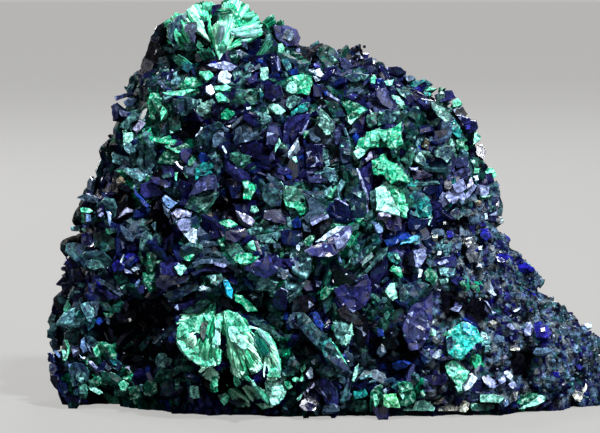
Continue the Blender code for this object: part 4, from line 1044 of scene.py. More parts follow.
    ("royal", 1.2, (447, 231, 453, 231, 454, 237, 448, 238)),
    ("royal", 1.2, (497, 254, 506, 253, 509, 259, 502, 263, 496, 261)),
    ("ash", 1.2, (431, 234, 437, 233, 438, 239, 432, 240)),
    ("aqua", 1.2, (443, 247, 449, 244, 449, 252, 443, 253)),
    ("white", 1.3, (438, 251, 442, 251, 441, 255, 437, 255)),
    ("royal", 1.3, (447, 232, 453, 231, 453, 236, 450, 238, 447, 236)),
    ("cream", 1.2, (431, 233, 437, 233, 438, 238, 433, 238)),
    ("cream", 1.2, (466, 238, 470, 238, 472, 243, 468, 248, 465, 243)),
    ("aqua", 1.2, (438, 247, 448, 245, 446, 249, 440, 250)),
    ("navy", 1.4, (423, 240, 431, 236, 432, 245, 428, 248)),
    ("slate", 1.1, (460, 225, 466, 231, 467, 236, 460, 234)),
    # centre and flank edge
    ("lavender", 2.0, (413, 250, 425, 249, 426, 258, 423, 263, 419, 268, 415, 267, 414, 259)),
    ("white", 1.7, (417, 268, 423, 270, 421, 277, 418, 278, 419, 273)),
    ("bright", 1.5, (389, 270, 392, 266, 400, 267, 403, 277, 400, 278, 393, 273)),
    ("teal", 1.3, (388, 253, 393, 252, 398, 253, 402, 261, 397, 265, 389, 260)),
    ("mintwhite", 1.6, (394, 254, 398, 254, 401, 260, 397, 259)),
    ("mintwhite", 1.4, (385, 292, 390, 283, 395, 283, 397, 292, 398, 298, 393, 301, 388, 296)),
    ("slategreen", 1.3, (400, 285, 414, 282, 425, 282, 430, 285, 425, 292, 418, 301, 410, 304, 400, 302)),
    ("emerald", 1.2, (424, 273, 429, 265, 436, 272, 438, 280, 434, 285, 430, 282, 425, 280)),
    ("slate", 1.2, (425, 262, 434, 260, 437, 266, 431, 267)),
    ("violet", 1.5, (434, 259, 450, 256, 453, 260, 458, 262, 455, 268, 436, 265)),
    ("lavender", 1.8, (437, 263, 447, 259, 449, 262, 440, 265)),
    ("aqua", 1.5, (438, 267, 455, 266, 455, 275, 449, 277, 441, 276)),
    ("greygreen", 1.2, (439, 279, 448, 277, 448, 283, 441, 285)),
    ("violet", 1.5, (450, 280, 458, 276, 467, 279, 468, 283, 460, 280, 458, 286, 453, 283)),
    ("emerald", 1.7, (459, 282, 465, 280, 468, 284, 468, 288, 462, 286)),
    ("emerald", 1.4, (470, 286, 478, 284, 480, 288, 473, 290)),
    ("violet", 1.7, (433, 291, 433, 307, 433, 320, 430, 333, 425, 343, 418, 350, 411, 351, 404, 337, 402, 329,
                     407, 316, 411, 307, 416, 303, 425, 301)),
    ("mauve", 2.0, (409, 318, 424, 310, 428, 322, 424, 338, 414, 343, 408, 332)),
    ("lavender", 1.4, (450, 309, 455, 306, 462, 307, 459, 312, 453, 311)),
    ("black", 0.3, (434, 294, 444, 301, 448, 312, 447, 323, 440, 326, 435, 309)),
    ("black", 0.3, (464, 306, 484, 306, 490, 318, 482, 326, 466, 318)),
    ("deep", 1.2, (370, 266, 387, 258, 388, 265, 379, 286, 370, 297)),
    ("violet", 1.6, (333, 288, 348, 283, 367, 274, 371, 282, 370, 298, 366, 305, 353, 313, 347, 313, 338, 300)),
    ("mint", 2.0, (475, 333, 480, 334, 484, 340, 482, 342, 474, 342)),
    ("mint", 2.0, (449, 330, 452, 331, 451, 335, 447, 335)),
    ("greygreen", 2.0, (446, 339, 452, 336, 454, 344, 452, 351, 447, 350)),
    ("mintwhite", 2.1, (456, 345, 460, 344, 461, 348, 457, 350)),
    ("aqua", 1.9, (450, 350, 463, 348, 461, 357, 455, 357)),
    ("turquoise", 1.7, (447, 333, 454, 326, 463, 321, 477, 327, 481, 336, 480, 341, 475, 346, 470, 350, 461, 359,
                   455, 358, 448, 353, 445, 342)),
    ("cyan", 2.0, (463, 322, 470, 322, 477, 328, 479, 335, 470, 336, 463, 330)),
    ("blue", 2.1, (461, 319, 466, 318, 476, 324, 477, 328, 469, 323)),
    ("palegreen", 1.4, (446, 343, 456, 340, 462, 350, 456, 357, 449, 352)),
    ("mintwhite", 1.4, (432, 328, 436, 330, 436, 336, 431, 335)),
    ("blue", 1.1, (377, 328, 383, 329, 384, 336, 378, 337)),
    ("violet", 1.5, (243, 269, 254, 262, 264, 257, 276, 255, 282, 260, 280, 268, 273, 275, 266, 278, 255, 275)),
    ("violet", 1.4, (283, 259, 294, 258, 295, 265, 293, 271, 288, 266)),
    ("slate", 1.2, (280, 272, 288, 269, 290, 275, 285, 280, 282, 279)),
    ("greygreen", 1.2, (261, 286, 271, 280, 278, 283, 270, 292, 263, 290)),
    ("deep", 1.2, (271, 302, 275, 293, 281, 288, 288, 292, 287, 302, 285, 311, 278, 310, 273, 308)),
    ("black", 1.2, (292, 296, 310, 295, 315, 302, 313, 309, 305, 313, 292, 312)),
    ("slate", 1.4, (288, 318, 293, 312, 301, 313, 305, 320, 310, 327, 300, 330, 290, 327)),
    ("navy", 1.6, (291, 319, 297, 317, 302, 323, 304, 328, 294, 327)),
    ("blue", 1.5, (309, 315, 313, 312, 318, 312, 323, 322, 320, 327, 315, 329, 313, 323)),
    ("emerald", 1.4, (320, 292, 326, 286, 328, 295, 323, 300, 320, 300)),
    ("darkgreen", 1.1, (322, 302, 329, 298, 331, 308, 325, 314)),
    ("emerald", 1.4, (335, 320, 344, 322, 350, 318, 352, 323, 351, 329, 345, 336, 337, 336, 331, 329)),
    ("mintwhite", 1.7, (348, 320, 352, 318, 352, 336, 346, 342, 345, 336, 350, 328)),
    ("greygreen", 1.2, (263, 322, 269, 313, 278, 316, 284, 324, 280, 330, 269, 332)),
    ("blue", 1.4, (286, 323, 293, 327, 290, 331, 286, 328)),
    ("aqua", 1.3, (294, 285, 298, 285, 291, 290, 285, 290)),
    ("teal", 1.2, (298, 278, 304, 277, 303, 281, 300, 282)),
    ("deep", 1.1, (315, 280, 321, 281, 320, 287, 316, 287)),
    ("sky", 1.4, (336, 256, 339, 255, 342, 263, 339, 262)),
    # the tan ribbed blade, from its ribs
    ("moss", 1.0, (344, 268, 352, 256, 372, 244, 382, 242, 366, 258, 354, 270)),
    ("greygreen", 1.3, (335, 286, 345, 279, 363, 273, 371, 264, 388, 246, 386, 254, 372, 268, 364, 276, 346, 283)),
    ("slategreen", 1.2, (350, 262, 360, 254, 364, 258, 354, 266)),
    ("palegreen", 1.3, (360, 262, 372, 252, 374, 256, 362, 267)),
    # the stacked ledge
    ("slate", 1.7, (192, 263, 200, 260, 214, 259, 225, 260, 235, 266, 243, 272, 238, 274, 228, 267, 214, 263,
                    200, 264, 193, 268)),
    ("lavender", 2.0, (213, 262, 221, 263, 227, 266, 224, 268, 215, 265)),
    ("deep", 1.5, (190, 273, 207, 267, 225, 267, 234, 272, 221, 273, 205, 271, 193, 276)),
    ("mauve", 1.6, (155, 280, 159, 275, 167, 275, 173, 277, 190, 275, 185, 282, 173, 285, 163, 290, 156, 287)),
    ("violet", 1.3, (160, 268, 172, 262, 178, 262, 186, 268, 188, 274, 174, 276, 161, 274)),
    ("slategreen", 1.5, (168, 292, 182, 286, 200, 280, 199, 289, 184, 296, 181, 298, 167, 298, 163, 295)),
    ("moss", 1.3, (209, 275, 221, 273, 224, 279, 217, 286, 211, 284)),
    ("white", 2.0, (199, 287, 203, 285, 209, 287, 206, 290, 202, 290)),
    ("bright", 1.5, (180, 255, 185, 255, 192, 253, 195, 255, 190, 261, 185, 260)),
    ("mintwhite", 1.7, (174, 267, 178, 264, 184, 265, 187, 268, 181, 276, 178, 274)),
    ("bright", 1.6, (232, 258, 238, 254, 257, 254, 260, 257, 252, 263, 244, 265, 235, 262)),
    ("mint", 1.8, (234, 260, 244, 258, 254, 259, 248, 263, 240, 264)),
    ("cyan", 1.4, (223, 281, 228, 280, 233, 290, 232, 299, 227, 295)),
    ("bright", 1.3, (234, 294, 242, 295, 250, 302, 258, 311, 248, 312, 243, 305, 235, 301)),
    ("black", 1.2, (248, 295, 253, 292, 262, 296, 262, 307, 257, 308)),
    ("deep", 1.2, (173, 305, 185, 303, 200, 297, 204, 295, 195, 305, 181, 310, 176, 311)),
    ("blue", 1.2, (174, 317, 177, 315, 184, 316, 183, 320, 177, 322)),
    ("moss", 1.2, (204, 297, 212, 293, 213, 300, 218, 302, 220, 306, 216, 313, 209, 312, 205, 305)),
    ("black", 0.8, (221, 297, 226, 299, 233, 309, 227, 310, 220, 303)),
    ("greygreen", 1.2, (184, 312, 200, 300, 208, 294, 212, 298, 206, 306, 196, 314)),
    # left cave and its rim
    ("slategreen", 1.2, (78, 256, 85, 252, 104, 252, 112, 261, 110, 267, 103, 271, 92, 273, 84, 269, 80, 262)),
    ("greygreen", 1.5, (84, 262, 92, 259, 100, 262, 104, 268, 94, 270, 87, 267)),
    ("royal", 1.3, (112, 265, 117, 260, 123, 261, 125, 266, 122, 271, 114, 272)),
    ("white", 1.6, (120, 261, 122, 261, 122, 263, 120, 263)),
    ("lavender", 1.2, (124, 269, 128, 270, 133, 274, 125, 273)),
    ("white", 1.3, (131, 269, 135, 267, 137, 270, 134, 272)),
    ("sky", 1.3, (135, 284, 139, 279, 140, 280, 138, 287, 135, 287)),
    ("slate", 1.0, (95, 280, 101, 279, 120, 290, 125, 294, 120, 297, 107, 287)),
    ("darkgreen", 1.0, (113, 276, 125, 274, 130, 282, 125, 293, 120, 287)),
    ("navy", 0.9, (88, 282, 98, 286, 107, 296, 94, 298, 88, 292)),
    ("mint", 1.4, (63, 309, 67, 300, 71, 306, 72, 313, 68, 317, 63, 314)),
    ("mintwhite", 1.4, (69, 319, 73, 317, 75, 319, 72, 321)),
    ("aqua", 1.4, (68, 298, 71, 291, 82, 292, 83, 294, 73, 294, 70, 299)),
    ("deep", 1.2, (73, 295, 83, 294, 86, 298, 81, 302, 73, 300)),
    ("aqua", 1.5, (80, 305, 86, 302, 92, 302, 96, 312, 91, 323, 88, 322, 84, 314)),
    ("slate", 1.4, (90, 302, 96, 302, 99, 306, 97, 316, 93, 319, 95, 310)),
    ("teal", 1.2, (85, 321, 91, 324, 96, 319, 94, 327, 88, 331)),
    ("slate", 1.2, (74, 302, 79, 303, 79, 313, 76, 315)),
    ("blue", 1.2, (95, 322, 99, 317, 103, 318, 103, 322, 99, 326)),
    ("emerald", 1.2, (103, 313, 108, 314, 112, 311, 109, 316, 107, 318)),
    ("slate", 1.1, (105, 318, 109, 319, 109, 325, 107, 324)),
    ("cream", 0.8, (128, 319, 130, 318, 132, 320, 130, 322)),
    ("mint", 1.2, (48, 318, 53, 313, 54, 316, 50, 322)),
    ("aqua", 1.2, (50, 325, 55, 323, 57, 329, 54, 332, 48, 330)),
    ("greygreen", 1.2, (66, 325, 72, 323, 78, 325, 74, 331, 68, 332)),
    # lower left
    ("slate", 1.1, (52, 340, 58, 339, 56, 345, 51, 346)),
    ("sky", 1.2, (53, 351, 57, 350, 61, 356, 59, 358)),
    ("mint", 1.4, (64, 340, 68, 340, 70, 346, 70, 353, 65, 361, 62, 360, 67, 354, 68, 348)),
    ("mintwhite", 1.4, (61, 349, 65, 350, 66, 354, 63, 357)),
    ("navy", 1.1, (49, 364, 55, 364, 57, 370, 54, 376, 49, 372)),
    ("slategreen", 1.2, (68, 369, 74, 362, 83, 364, 89, 371, 88, 380, 80, 386, 75, 386, 70, 379)),
    ("greygreen", 1.6, (76, 373, 84, 372, 87, 378, 82, 384, 76, 380)),
    ("moss", 1.5, (70, 380, 75, 379, 76, 386, 72, 387)),
    ("sky", 1.4, (68, 364, 75, 363, 73, 367, 69, 368)),
    ("moss", 1.2, (73, 391, 80, 388, 85, 391, 80, 396, 74, 395)),
    ("palegreen", 1.0, (47, 322, 52, 310, 56, 314, 54, 324, 50, 329)),
    ("aqua", 0.9, (47, 331, 55, 328, 57, 335, 53, 340, 47, 338)),
    ("slate", 0.9, (49, 342, 58, 340, 60, 350, 53, 352)),
    ("navy", 0.9, (47, 353, 53, 354, 54, 363, 48, 362)),
    ("slategreen", 1.0, (66, 331, 78, 333, 80, 341, 72, 345, 64, 340)),
    ("navy", 0.9, (71, 345, 80, 346, 80, 354, 73, 358)),
    ("slategreen", 1.1, (86, 337, 93, 337, 98, 343, 94, 350, 89, 345)),
    ("darkgreen", 1.1, (95, 357, 104, 358, 108, 366, 101, 366)),
    ("slategreen", 1.1, (104, 352, 112, 356, 122, 366, 118, 372, 108, 364)),
    ("darkgreen", 1.0, (100, 370, 116, 374, 124, 382, 116, 388, 102, 380)),
    ("emerald", 1.0, (92, 375, 106, 378, 108, 386, 96, 384)),
    ("moss", 1.0, (86, 380, 94, 382, 100, 390, 92, 392)),
    ("navy", 0.9, (57, 383, 66, 384, 70, 394, 62, 396, 57, 390)),
    ("deep", 0.8, (50, 375, 58, 376, 62, 387, 56, 388)),
    ("deep", 0.8, (62, 396, 76, 397, 88, 402, 80, 404, 66, 402)),
    ("emerald", 1.1, (128, 388, 140, 386, 142, 398, 130, 400)),
    ("darkgreen", 0.9, (124, 398, 144, 400, 150, 403, 128, 404)),
    ("mint", 1.2, (106, 397, 114, 395, 120, 398, 128, 402, 118, 404, 108, 404)),
    ("darkgreen", 0.7, (120, 346, 131, 341, 134, 343, 124, 350)),
    ("darkgreen", 0.7, (138, 346, 150, 334, 152, 338, 142, 352)),
    ("navy", 0.8, (84, 292, 98, 295, 112, 300, 104, 306, 88, 300)),
    ("darkgreen", 0.8, (97, 300, 108, 303, 112, 311, 103, 310)),
    ("violet", 0.9, (96, 288, 106, 290, 120, 298, 110, 300)),
    ("black", 0.9, (56, 296, 66, 296, 68, 304, 58, 310, 54, 306)),
    ("deep", 0.9, (61, 283, 72, 283, 74, 294, 62, 296)),
    ("deep", 0.9, (66, 268, 80, 268, 84, 280, 70, 284)),
    ("slategreen", 1.0, (64, 303, 68, 298, 70, 300, 66, 306)),
    ("sky", 1.5, (81, 340, 84, 337, 85, 344, 87, 351, 83, 353, 80, 347)),
    ("white", 1.4, (79, 354, 82, 357, 86, 357, 84, 359, 81, 358)),
    ("bright", 1.4, (93, 350, 97, 344, 103, 349, 104, 352, 101, 356, 96, 357)),
    ("lavender", 1.4, (88, 361, 93, 362, 99, 368, 103, 371, 99, 372, 93, 367)),
    ("slate", 1.3, (85, 341, 90, 346, 93, 354, 90, 352)),
    ("greygreen", 1.3, (106, 345, 109, 345, 108, 353, 106, 354)),
    ("teal", 1.2, (109, 357, 117, 360, 123, 364, 120, 366, 112, 364)),
    ("slate", 1.2, (103, 359, 111, 369, 108, 371, 104, 366)),
    ("pink", 1.1, (124, 368, 130, 366, 130, 371)),
    ("mintwhite", 1.4, (88, 387, 91, 385, 97, 389, 103, 393, 99, 395, 90, 390)),
    ("emerald", 1.2, (90, 380, 98, 379, 104, 384, 97, 386)),
    ("mint", 1.3, (103, 393, 110, 392, 111, 395, 108, 399, 103, 398)),
    ("mint", 1.2, (108, 401, 118, 399, 120, 403, 111, 404)),
    ("mint", 1.4, (118, 384, 124, 380, 127, 386, 126, 391, 120, 389)),
    ("moss", 1.1, (115, 390, 129, 392, 125, 397, 114, 396)),
    ("aqua", 1.2, (140, 384, 143, 384, 143, 391, 140, 391)),
    ("emerald", 1.2, (143, 386, 148, 380, 156, 383, 158, 392, 152, 397, 144, 395)),
    ("greygreen", 1.3, (155, 359, 158, 354, 166, 354, 173, 358, 170, 366, 159, 372, 156, 366)),
    ("moss", 1.2, (164, 377, 170, 370, 183, 364, 185, 366, 180, 373, 168, 379)),
    ("darkgreen", 1.1, (160, 384, 168, 380, 176, 384, 172, 396, 161, 396)),
    ("moss", 1.3, (175, 379, 181, 377, 179, 388, 175, 392)),
    # bits round the lower spray
    ("mintwhite", 1.6, (190, 386, 196, 385, 199, 391, 195, 397, 190, 397)),
    ("mint", 1.4, (220, 401, 225, 396, 230, 396, 229, 400, 224, 406)),
    ("darkgreen", 1.0, (230, 396, 240, 392, 246, 400, 240, 406, 230, 406)),
    ("darkgreen", 1.3, (280, 356, 292, 351, 298, 361, 303, 366, 294, 376, 282, 376)),
    ("mint", 1.4, (291, 378, 295, 377, 300, 379, 303, 373, 304, 381, 295, 382)),
    ("bright", 1.4, (284, 382, 289, 381, 293, 387, 288, 390)),
    ("mint", 1.3, (300, 369, 305, 364, 306, 368, 302, 373)),
    ("white", 1.9, (306, 374, 311, 367, 313, 369, 313, 378, 309, 379)),
    ("white", 1.6, (311, 361, 315, 361, 315, 365, 312, 364)),
    ("deep", 1.6, (299, 406, 304, 397, 310, 390, 317, 377, 320, 386, 321, 397, 315, 411, 304, 411)),
    ("pink", 1.9, (310, 388, 314, 382, 315, 385, 311, 389)),
    ("pink", 1.9, (306, 390, 309, 389, 308, 393)),
    ("pink", 1.9, (303, 393, 306, 395, 305, 397)),
    ("mintwhite", 1.9, (296, 399, 302, 394, 301, 399, 298, 401)),
    ("violet", 1.7, (319, 380, 324, 378, 331, 382, 336, 388, 339, 402, 338, 405, 327, 405, 321, 393)),
    ("lavender", 2.0, (319, 380, 321, 389, 327, 398, 323, 395, 319, 388)),
    ("slate", 1.8, (323, 411, 325, 406, 335, 404, 340, 407, 340, 411, 335, 412, 326, 412)),
    ("greygreen", 1.4, (323, 368, 328, 366, 333, 368, 335, 374, 330, 377, 325, 376)),
    ("teal", 1.4, (320, 345, 328, 340, 335, 344, 338, 354, 335, 359, 327, 361, 323, 355)),
    ("mint", 1.7, (328, 344, 331, 344, 333, 356, 330, 354)),
    ("bright", 1.5, (328, 338, 335, 345, 342, 354, 345, 364, 341, 363, 337, 354)),
    ("slate", 1.4, (344, 350, 349, 346, 348, 354, 353, 366, 350, 367, 345, 359)),
    ("palegreen", 1.5, (336, 340, 345, 338, 350, 342, 345, 345, 338, 344)),
    ("mintwhite", 1.7, (352, 381, 355, 367, 359, 363, 357, 376, 354, 382)),
    ("aqua", 1.4, (359, 378, 372, 374, 372, 377, 361, 380)),
    ("navy", 1.3, (353, 385, 367, 382, 365, 389, 356, 388)),
    ("teal", 1.4, (353, 392, 365, 389, 368, 395, 363, 398, 355, 399)),
    ("slate", 1.3, (340, 393, 348, 391, 352, 395, 350, 400, 341, 401)),
    ("slategreen", 1.2, (338, 377, 344, 376, 348, 381, 345, 384, 339, 382)),
    ("moss", 1.3, (343, 406, 356, 401, 367, 402, 368, 411, 358, 412, 349, 411)),
    # lower right
    ("emerald", 1.4, (370, 393, 374, 388, 382, 383, 383, 406, 377, 411, 370, 412)),
    ("mint", 1.7, (373, 391, 376, 388, 378, 404, 375, 407)),
    ("lime", 1.6, (383, 395, 396, 394, 398, 400, 400, 408, 388, 408, 383, 405)),
    ("white", 1.8, (383, 390, 386, 388, 387, 391, 384, 392)),
    ("emerald", 1.5, (398, 382, 407, 382, 413, 386, 416, 398, 413, 404, 407, 406, 400, 406, 399, 396)),
    ("mintwhite", 1.8, (398, 390, 403, 387, 405, 390, 403, 400)),
    ("teal", 1.3, (391, 387, 398, 382, 397, 390)),
    ("mintwhite", 1.5, (402, 410, 413, 407, 416, 400, 424, 399, 428, 402, 435, 408, 434, 411, 420, 411, 407, 411)),
    ("deep", 1.3, (423, 376, 433, 374, 445, 373, 448, 379, 443, 385, 430, 385, 424, 380)),
    ("black", 0.6, (424, 390, 440, 391, 448, 397, 443, 401, 428, 400)),
    ("tan", 1.2, (432, 404, 438, 401, 445, 400, 448, 403, 438, 405)),
    ("cream", 1.3, (437, 409, 448, 406, 460, 407, 459, 411, 448, 411, 438, 411)),
    ("cream", 1.5, (457, 411, 460, 406, 466, 404, 469, 409, 466, 412, 461, 412)),
    ("mint", 1.5, (445, 366, 450, 361, 455, 360, 461, 366, 470, 371, 465, 382, 460, 387, 455, 383, 449, 376)),
    ("mintwhite", 1.8, (447, 366, 451, 363, 457, 367, 459, 377, 453, 373)),
    ("white", 1.9, (464, 387, 473, 374, 478, 378, 470, 389, 465, 391)),
    ("mintwhite", 1.6, (455, 386, 462, 385, 463, 391, 458, 392)),
    ("lavender", 1.6, (448, 356, 452, 354, 457, 356, 453, 359)),
    ("white", 1.4, (432, 357, 436, 355, 441, 356, 436, 359)),
    ("navy", 1.7, (463, 356, 470, 350, 477, 343, 482, 343, 482, 349, 473, 350, 468, 359)),
    ("bright", 1.6, (471, 356, 478, 354, 482, 357, 481, 364, 475, 369, 472, 362)),
    ("deep", 1.4, (470, 386, 482, 381, 483, 392, 473, 394)),
    ("mintwhite", 1.4, (480, 395, 489, 394, 497, 395, 505, 398, 499, 403, 490, 402, 480, 402)),
    ("darkgreen", 1.2, (470, 404, 480, 403, 493, 403, 494, 409, 483, 411, 472, 411)),
    ("sky", 1.3, (503, 403, 508, 400, 509, 404, 505, 407)),
    ("emerald", 1.3, (508, 406, 520, 400, 530, 395, 539, 393, 530, 402, 520, 409, 511, 410)),
    ("mintwhite", 1.5, (518, 409, 530, 402, 539, 394, 546, 395, 545, 401, 534, 406, 524, 409)),
    ("cream", 1.4, (513, 393, 518, 391, 517, 400, 515, 401)),
    ("cream", 1.3, (523, 387, 525, 389, 524, 393)),
    ("cream", 1.3, (573, 396, 580, 391, 583, 395, 580, 402, 575, 401)),
    ("cream", 1.3, (582, 390, 586, 383, 587, 389, 583, 394)),
    ("lavender", 1.5, (486, 384, 494, 379, 497, 383, 490, 388)),
    ("lavender", 1.6, (498, 380, 504, 375, 506, 381, 501, 384)),
    ("white", 1.8, (504, 372, 508, 370, 513, 376, 511, 380, 507, 377)),
    ("lavender", 1.6, (508, 384, 514, 381, 517, 386, 513, 389)),
    ("black", 0.3, (514, 353, 524, 352, 528, 358, 524, 378, 518, 380, 515, 365)),
    ("cream", 1.4, (510, 350, 514, 348, 520, 348, 520, 350, 514, 351)),
    ("pink", 1.4, (503, 359, 505, 355, 508, 357, 506, 359)),
    ("aqua", 1.5, (481, 336, 484, 338, 484, 342, 481, 342)),
    ("aqua", 1.3, (485, 346, 490, 346, 489, 352, 484, 353)),
    ("royal", 1.4, (576, 366, 580, 364, 584, 367, 581, 370, 577, 369)),
    ("royal", 1.2, (495, 256, 503, 254, 506, 258, 504, 263, 498, 262)),
    ("royal", 1.1, (528, 266, 533, 267, 535, 270, 531, 272, 528, 270)),
    ("violet", 1.3, (498, 290, 502, 287, 503, 295, 499, 295)),
    ("white", 1.3, (488, 291, 493, 290, 497, 295, 494, 296)),
    ("lavender", 1.4, (483, 300, 487, 301, 494, 312, 497, 313, 493, 314, 488, 305)),
    ("white", 1.2, (513, 311, 519, 308, 520, 309, 515, 312)),
    ("cream", 1.2, (487, 322, 493, 320, 498, 323, 493, 325)),
    ("lavender", 1.4, (506, 325, 511, 323, 515, 329, 513, 330, 508, 327)),
    ("lavender", 1.5, (524, 330, 527, 322, 531, 322, 534, 329, 530, 336, 525, 336)),
    ("royal", 1.3, (534, 322, 540, 320, 548, 326, 552, 333, 548, 338, 536, 337)),
    ("lavender", 1.6, (540, 328, 545, 327, 545, 331, 541, 332)),
    ("slate", 1.3, (558, 329, 566, 327, 572, 331, 566, 336, 560, 334)),
    ("white", 1.3, (584, 324, 591, 322, 592, 328, 586, 330)),
)

# The sprays' fans: brightness, how far they stand off the core (mm), fibres, the pixel of the root, and those
# of the tips along the edge.
# A fan's brightness is partly the malachite's own and partly painted light and shade: fans below zero paint the
# shade in the clefts between lobes.
LOWER_FANS = (
    (0.34, 0.4, 260, (214, 311), (188, 306, 180, 316, 176, 326, 178, 340, 186, 354, 198, 365, 212, 368, 219, 363)),
    (0.62, 0.9, 150, (208, 318), (185, 313, 176, 327, 179, 339)),
    (1.00, 1.3, 120, (199, 330), (177, 338, 184, 349, 191, 356)),
    (0.95, 1.4, 130, (205, 340), (193, 357, 202, 367, 212, 367, 220, 361)),
    (1.00, 1.5, 60, (211, 362), (199, 371, 205, 378, 213, 381, 219, 378)),
    (0.95, 1.2, 90, (217, 314), (212, 342, 216, 347, 220, 343)),
    (-0.34, 1.4, 110, (214, 315), (205, 340, 208, 351, 212, 348, 212, 334)),
    (-0.10, 1.3, 60, (240, 322), (242, 316, 248, 322, 249, 331)),
    (0.38, 0.4, 320, (224, 311), (222, 350, 233, 374, 244, 376, 256, 371, 263, 354, 257, 338, 248, 329, 240, 317)),
    (0.74, 0.9, 230, (226, 312), (229, 342, 239, 354, 254, 352, 252, 338, 245, 325, 240, 315)),
    (1.00, 1.3, 110, (222, 312), (228, 338, 235, 342, 240, 337)),
    (0.60, 0.9, 170, (248, 326), (262, 331, 272, 342, 277, 353, 279, 368)),
    (1.00, 1.6, 160, (236, 334), (249, 368, 256, 371, 262, 367, 256, 350)),
    (1.00, 1.5, 120, (226, 344), (234, 374, 240, 377, 244, 371)),
    (0.90, 1.4, 160, (266, 344), (264, 376, 270, 380, 277, 378, 279, 362)),
    (1.00, 0.9, 150, (239, 380), (250, 399, 262, 407, 272, 406, 268, 392)),
    (0.40, 0.6, 90, (226, 384), (236, 406, 248, 406, 254, 400)),
)
LOWER_SHEAVES = (
    ("mint", "white", 1.6, 179, 334, 191, 353, 3, 4),
    ("mint", "white", 1.5, 176, 340, 186, 354, 2, 3),
    ("mint", "white", 1.1, 219, 316, 215, 344, 4, 6),
    ("darkgreen", "emerald", 0.4, 214, 322, 204, 348, 5, 6),
    ("emerald", "teal", 1.2, 254, 334, 266, 356, 7, 11),
    ("mint", "white", 1.8, 258, 330, 272, 345, 3, 6),
    ("moss", "bright", 0.5, 218, 349, 222, 372, 5, 7),
    ("bright", "mintwhite", 1.6, 248, 379, 270, 404, 3, 5),
    ("emerald", "mint", 1.0, 213, 380, 214, 389, 6, 6),
    ("mint", "white", 1.7, 276, 352, 280, 377, 2, 3),
)
CROWN_FANS = (
    (0.30, 0.6, 260, (192, 50), (184, 16, 174, 14, 168, 26, 168, 42)),
    (0.60, 0.8, 260, (211, 42), (207, 8, 197, 5, 188, 11, 184, 22)),
    (0.62, 1.0, 300, (219, 60), (209, 22, 211, 16, 224, 14, 230, 18, 236, 30, 232, 40)),
    (0.95, 1.5, 160, (219, 52), (214, 26, 220, 22, 227, 22)),
    (0.55, 1.0, 180, (222, 44), (223, 5, 230, 2, 238, 2, 248, 7)),
    (0.30, 0.7, 160, (226, 36), (236, 10, 248, 9, 256, 15, 260, 24)),
    (0.48, 0.8, 160, (221, 52), (262, 24, 262, 34, 250, 38, 240, 42, 232, 48)),
)
CROWN_SHEAVES = (
    ("mint", "mintwhite", 1.7, 208, 14, 209, 3, 9, 12),
    ("mint", "white", 1.9, 219, 50, 222, 26, 4, 6),
    ("mint", "mintwhite", 1.6, 223, 38, 227, 4, 4, 7),
    ("mint", "white", 2.0, 232, 34, 262, 29, 7, 12),
    ("mint", "mintwhite", 1.6, 221, 58, 223, 44, 5, 8),
    ("mint", "mintwhite", 1.6, 242, 17, 255, 14, 4, 5),
    ("moss", "mint", 1.4, 178, 44, 174, 18, 2, 3),
    ("moss", "mint", 1.4, 171, 42, 170, 24, 2, 3),
)

SPECIMEN_MIDDLE = (300, 240)      # pixel
INWARD_SHARES = [step / 100 for step in range(31)]      # how far past the edge an anchor is looked for
CALM_REACH = {"normal": 5, "depth": 4}                  # pixels
KEY_PLACE = (0.22, -0.36, 0.52)   # the key light, in metres
LEANING = 0.29                    # tints brighter than this are turned to catch the light
LIGHT_PULL = {True: 0.5, False: -0.1}
CORE_PULL = 0.45                  # how far a face follows the core's own slope
FACE_SWING = 0.24
ROOT_DEPTH = 0.8
SHORTEST = 1.0                    # mm from root to face, at least
HOLLOW_STAND = 0.7                # black outlines that stand lower than this are hollows, kept free
HOLLOW_DEPTH = 1e6
CHIP_LENGTH = 4.5                 # pixels
CHIP_DEPTH = 0.45
MOST_CHIPS = 3                    # on each side of an outline
EDGE_WIDTH = (0.07, 0.035)        # width of the bevel: at least (mm), and for each mm of size
WAIST = 0.96                      # width below the bevel, and of the root, as shares of the face's
FOOT = 0.55
CAP_EDGE = 0.80                   # the face's inner points stay inside this share of it
CAP_SPACING = 0.75                # mm between them
CAP_STRAY = 0.35
CRUMPLE = {"azurite": 0.030, "altered": 0.075, "malachite": 0.075}
CRUMPLE_MOST = 0.30
# painted shade on the root and walls, painted highlight on the bevel
WALL_SHADING_TONES = (0.4, 0.7, 1.3)      # root, wall and bevel
TONE_RANGE = (0.80, 1.20)
CAP_TONES = (0.55, 0.85, 1.0, 1.0, 1.15, 1.6)
# painted highlights, added to runs of bevel edges and to glinting triangles of the face
PAINTED_HIGHLIGHT = {"azurite": (0.16, 0.20, 0.30), "altered": (0.12, 0.28, 0.24), "malachite": (0.25, 0.40, 0.33)}
EDGE_HIGHLIGHT_SHARE = 0.5
# share of the face's triangles that get a painted glint
SPARKLE_SHARE = 0.035


def as_pixels(corners):
    """A flat row x, y, x, y ... as an array of pixels."""
    return np.array(corners, dtype=float).reshape(-1, 2)


def signed_area(outline):
    """The area inside an outline, negative if its points run the other way round."""
    after = np.roll(outline, -1, axis=0)
    return 0.5 * float(np.sum(outline[:, 0] * after[:, 1] - after[:, 0] * outline[:, 1]))


def inside_outline(points, outline):
    """True for the points, an array whose last axis is x and y, that lie inside an outline."""
    x, y = points[..., 0], points[..., 1]
    found = np.zeros(x.shape, dtype=bool)
    for (x1, y1), (x2, y2) in zip(outline, np.roll(outline, -1, axis=0)):
        if y1 != y2:
            found ^= ((y1 > y) != (y2 > y)) & (x < (x2 - x1) * (y - y1) / (y2 - y1) + x1)
    return found


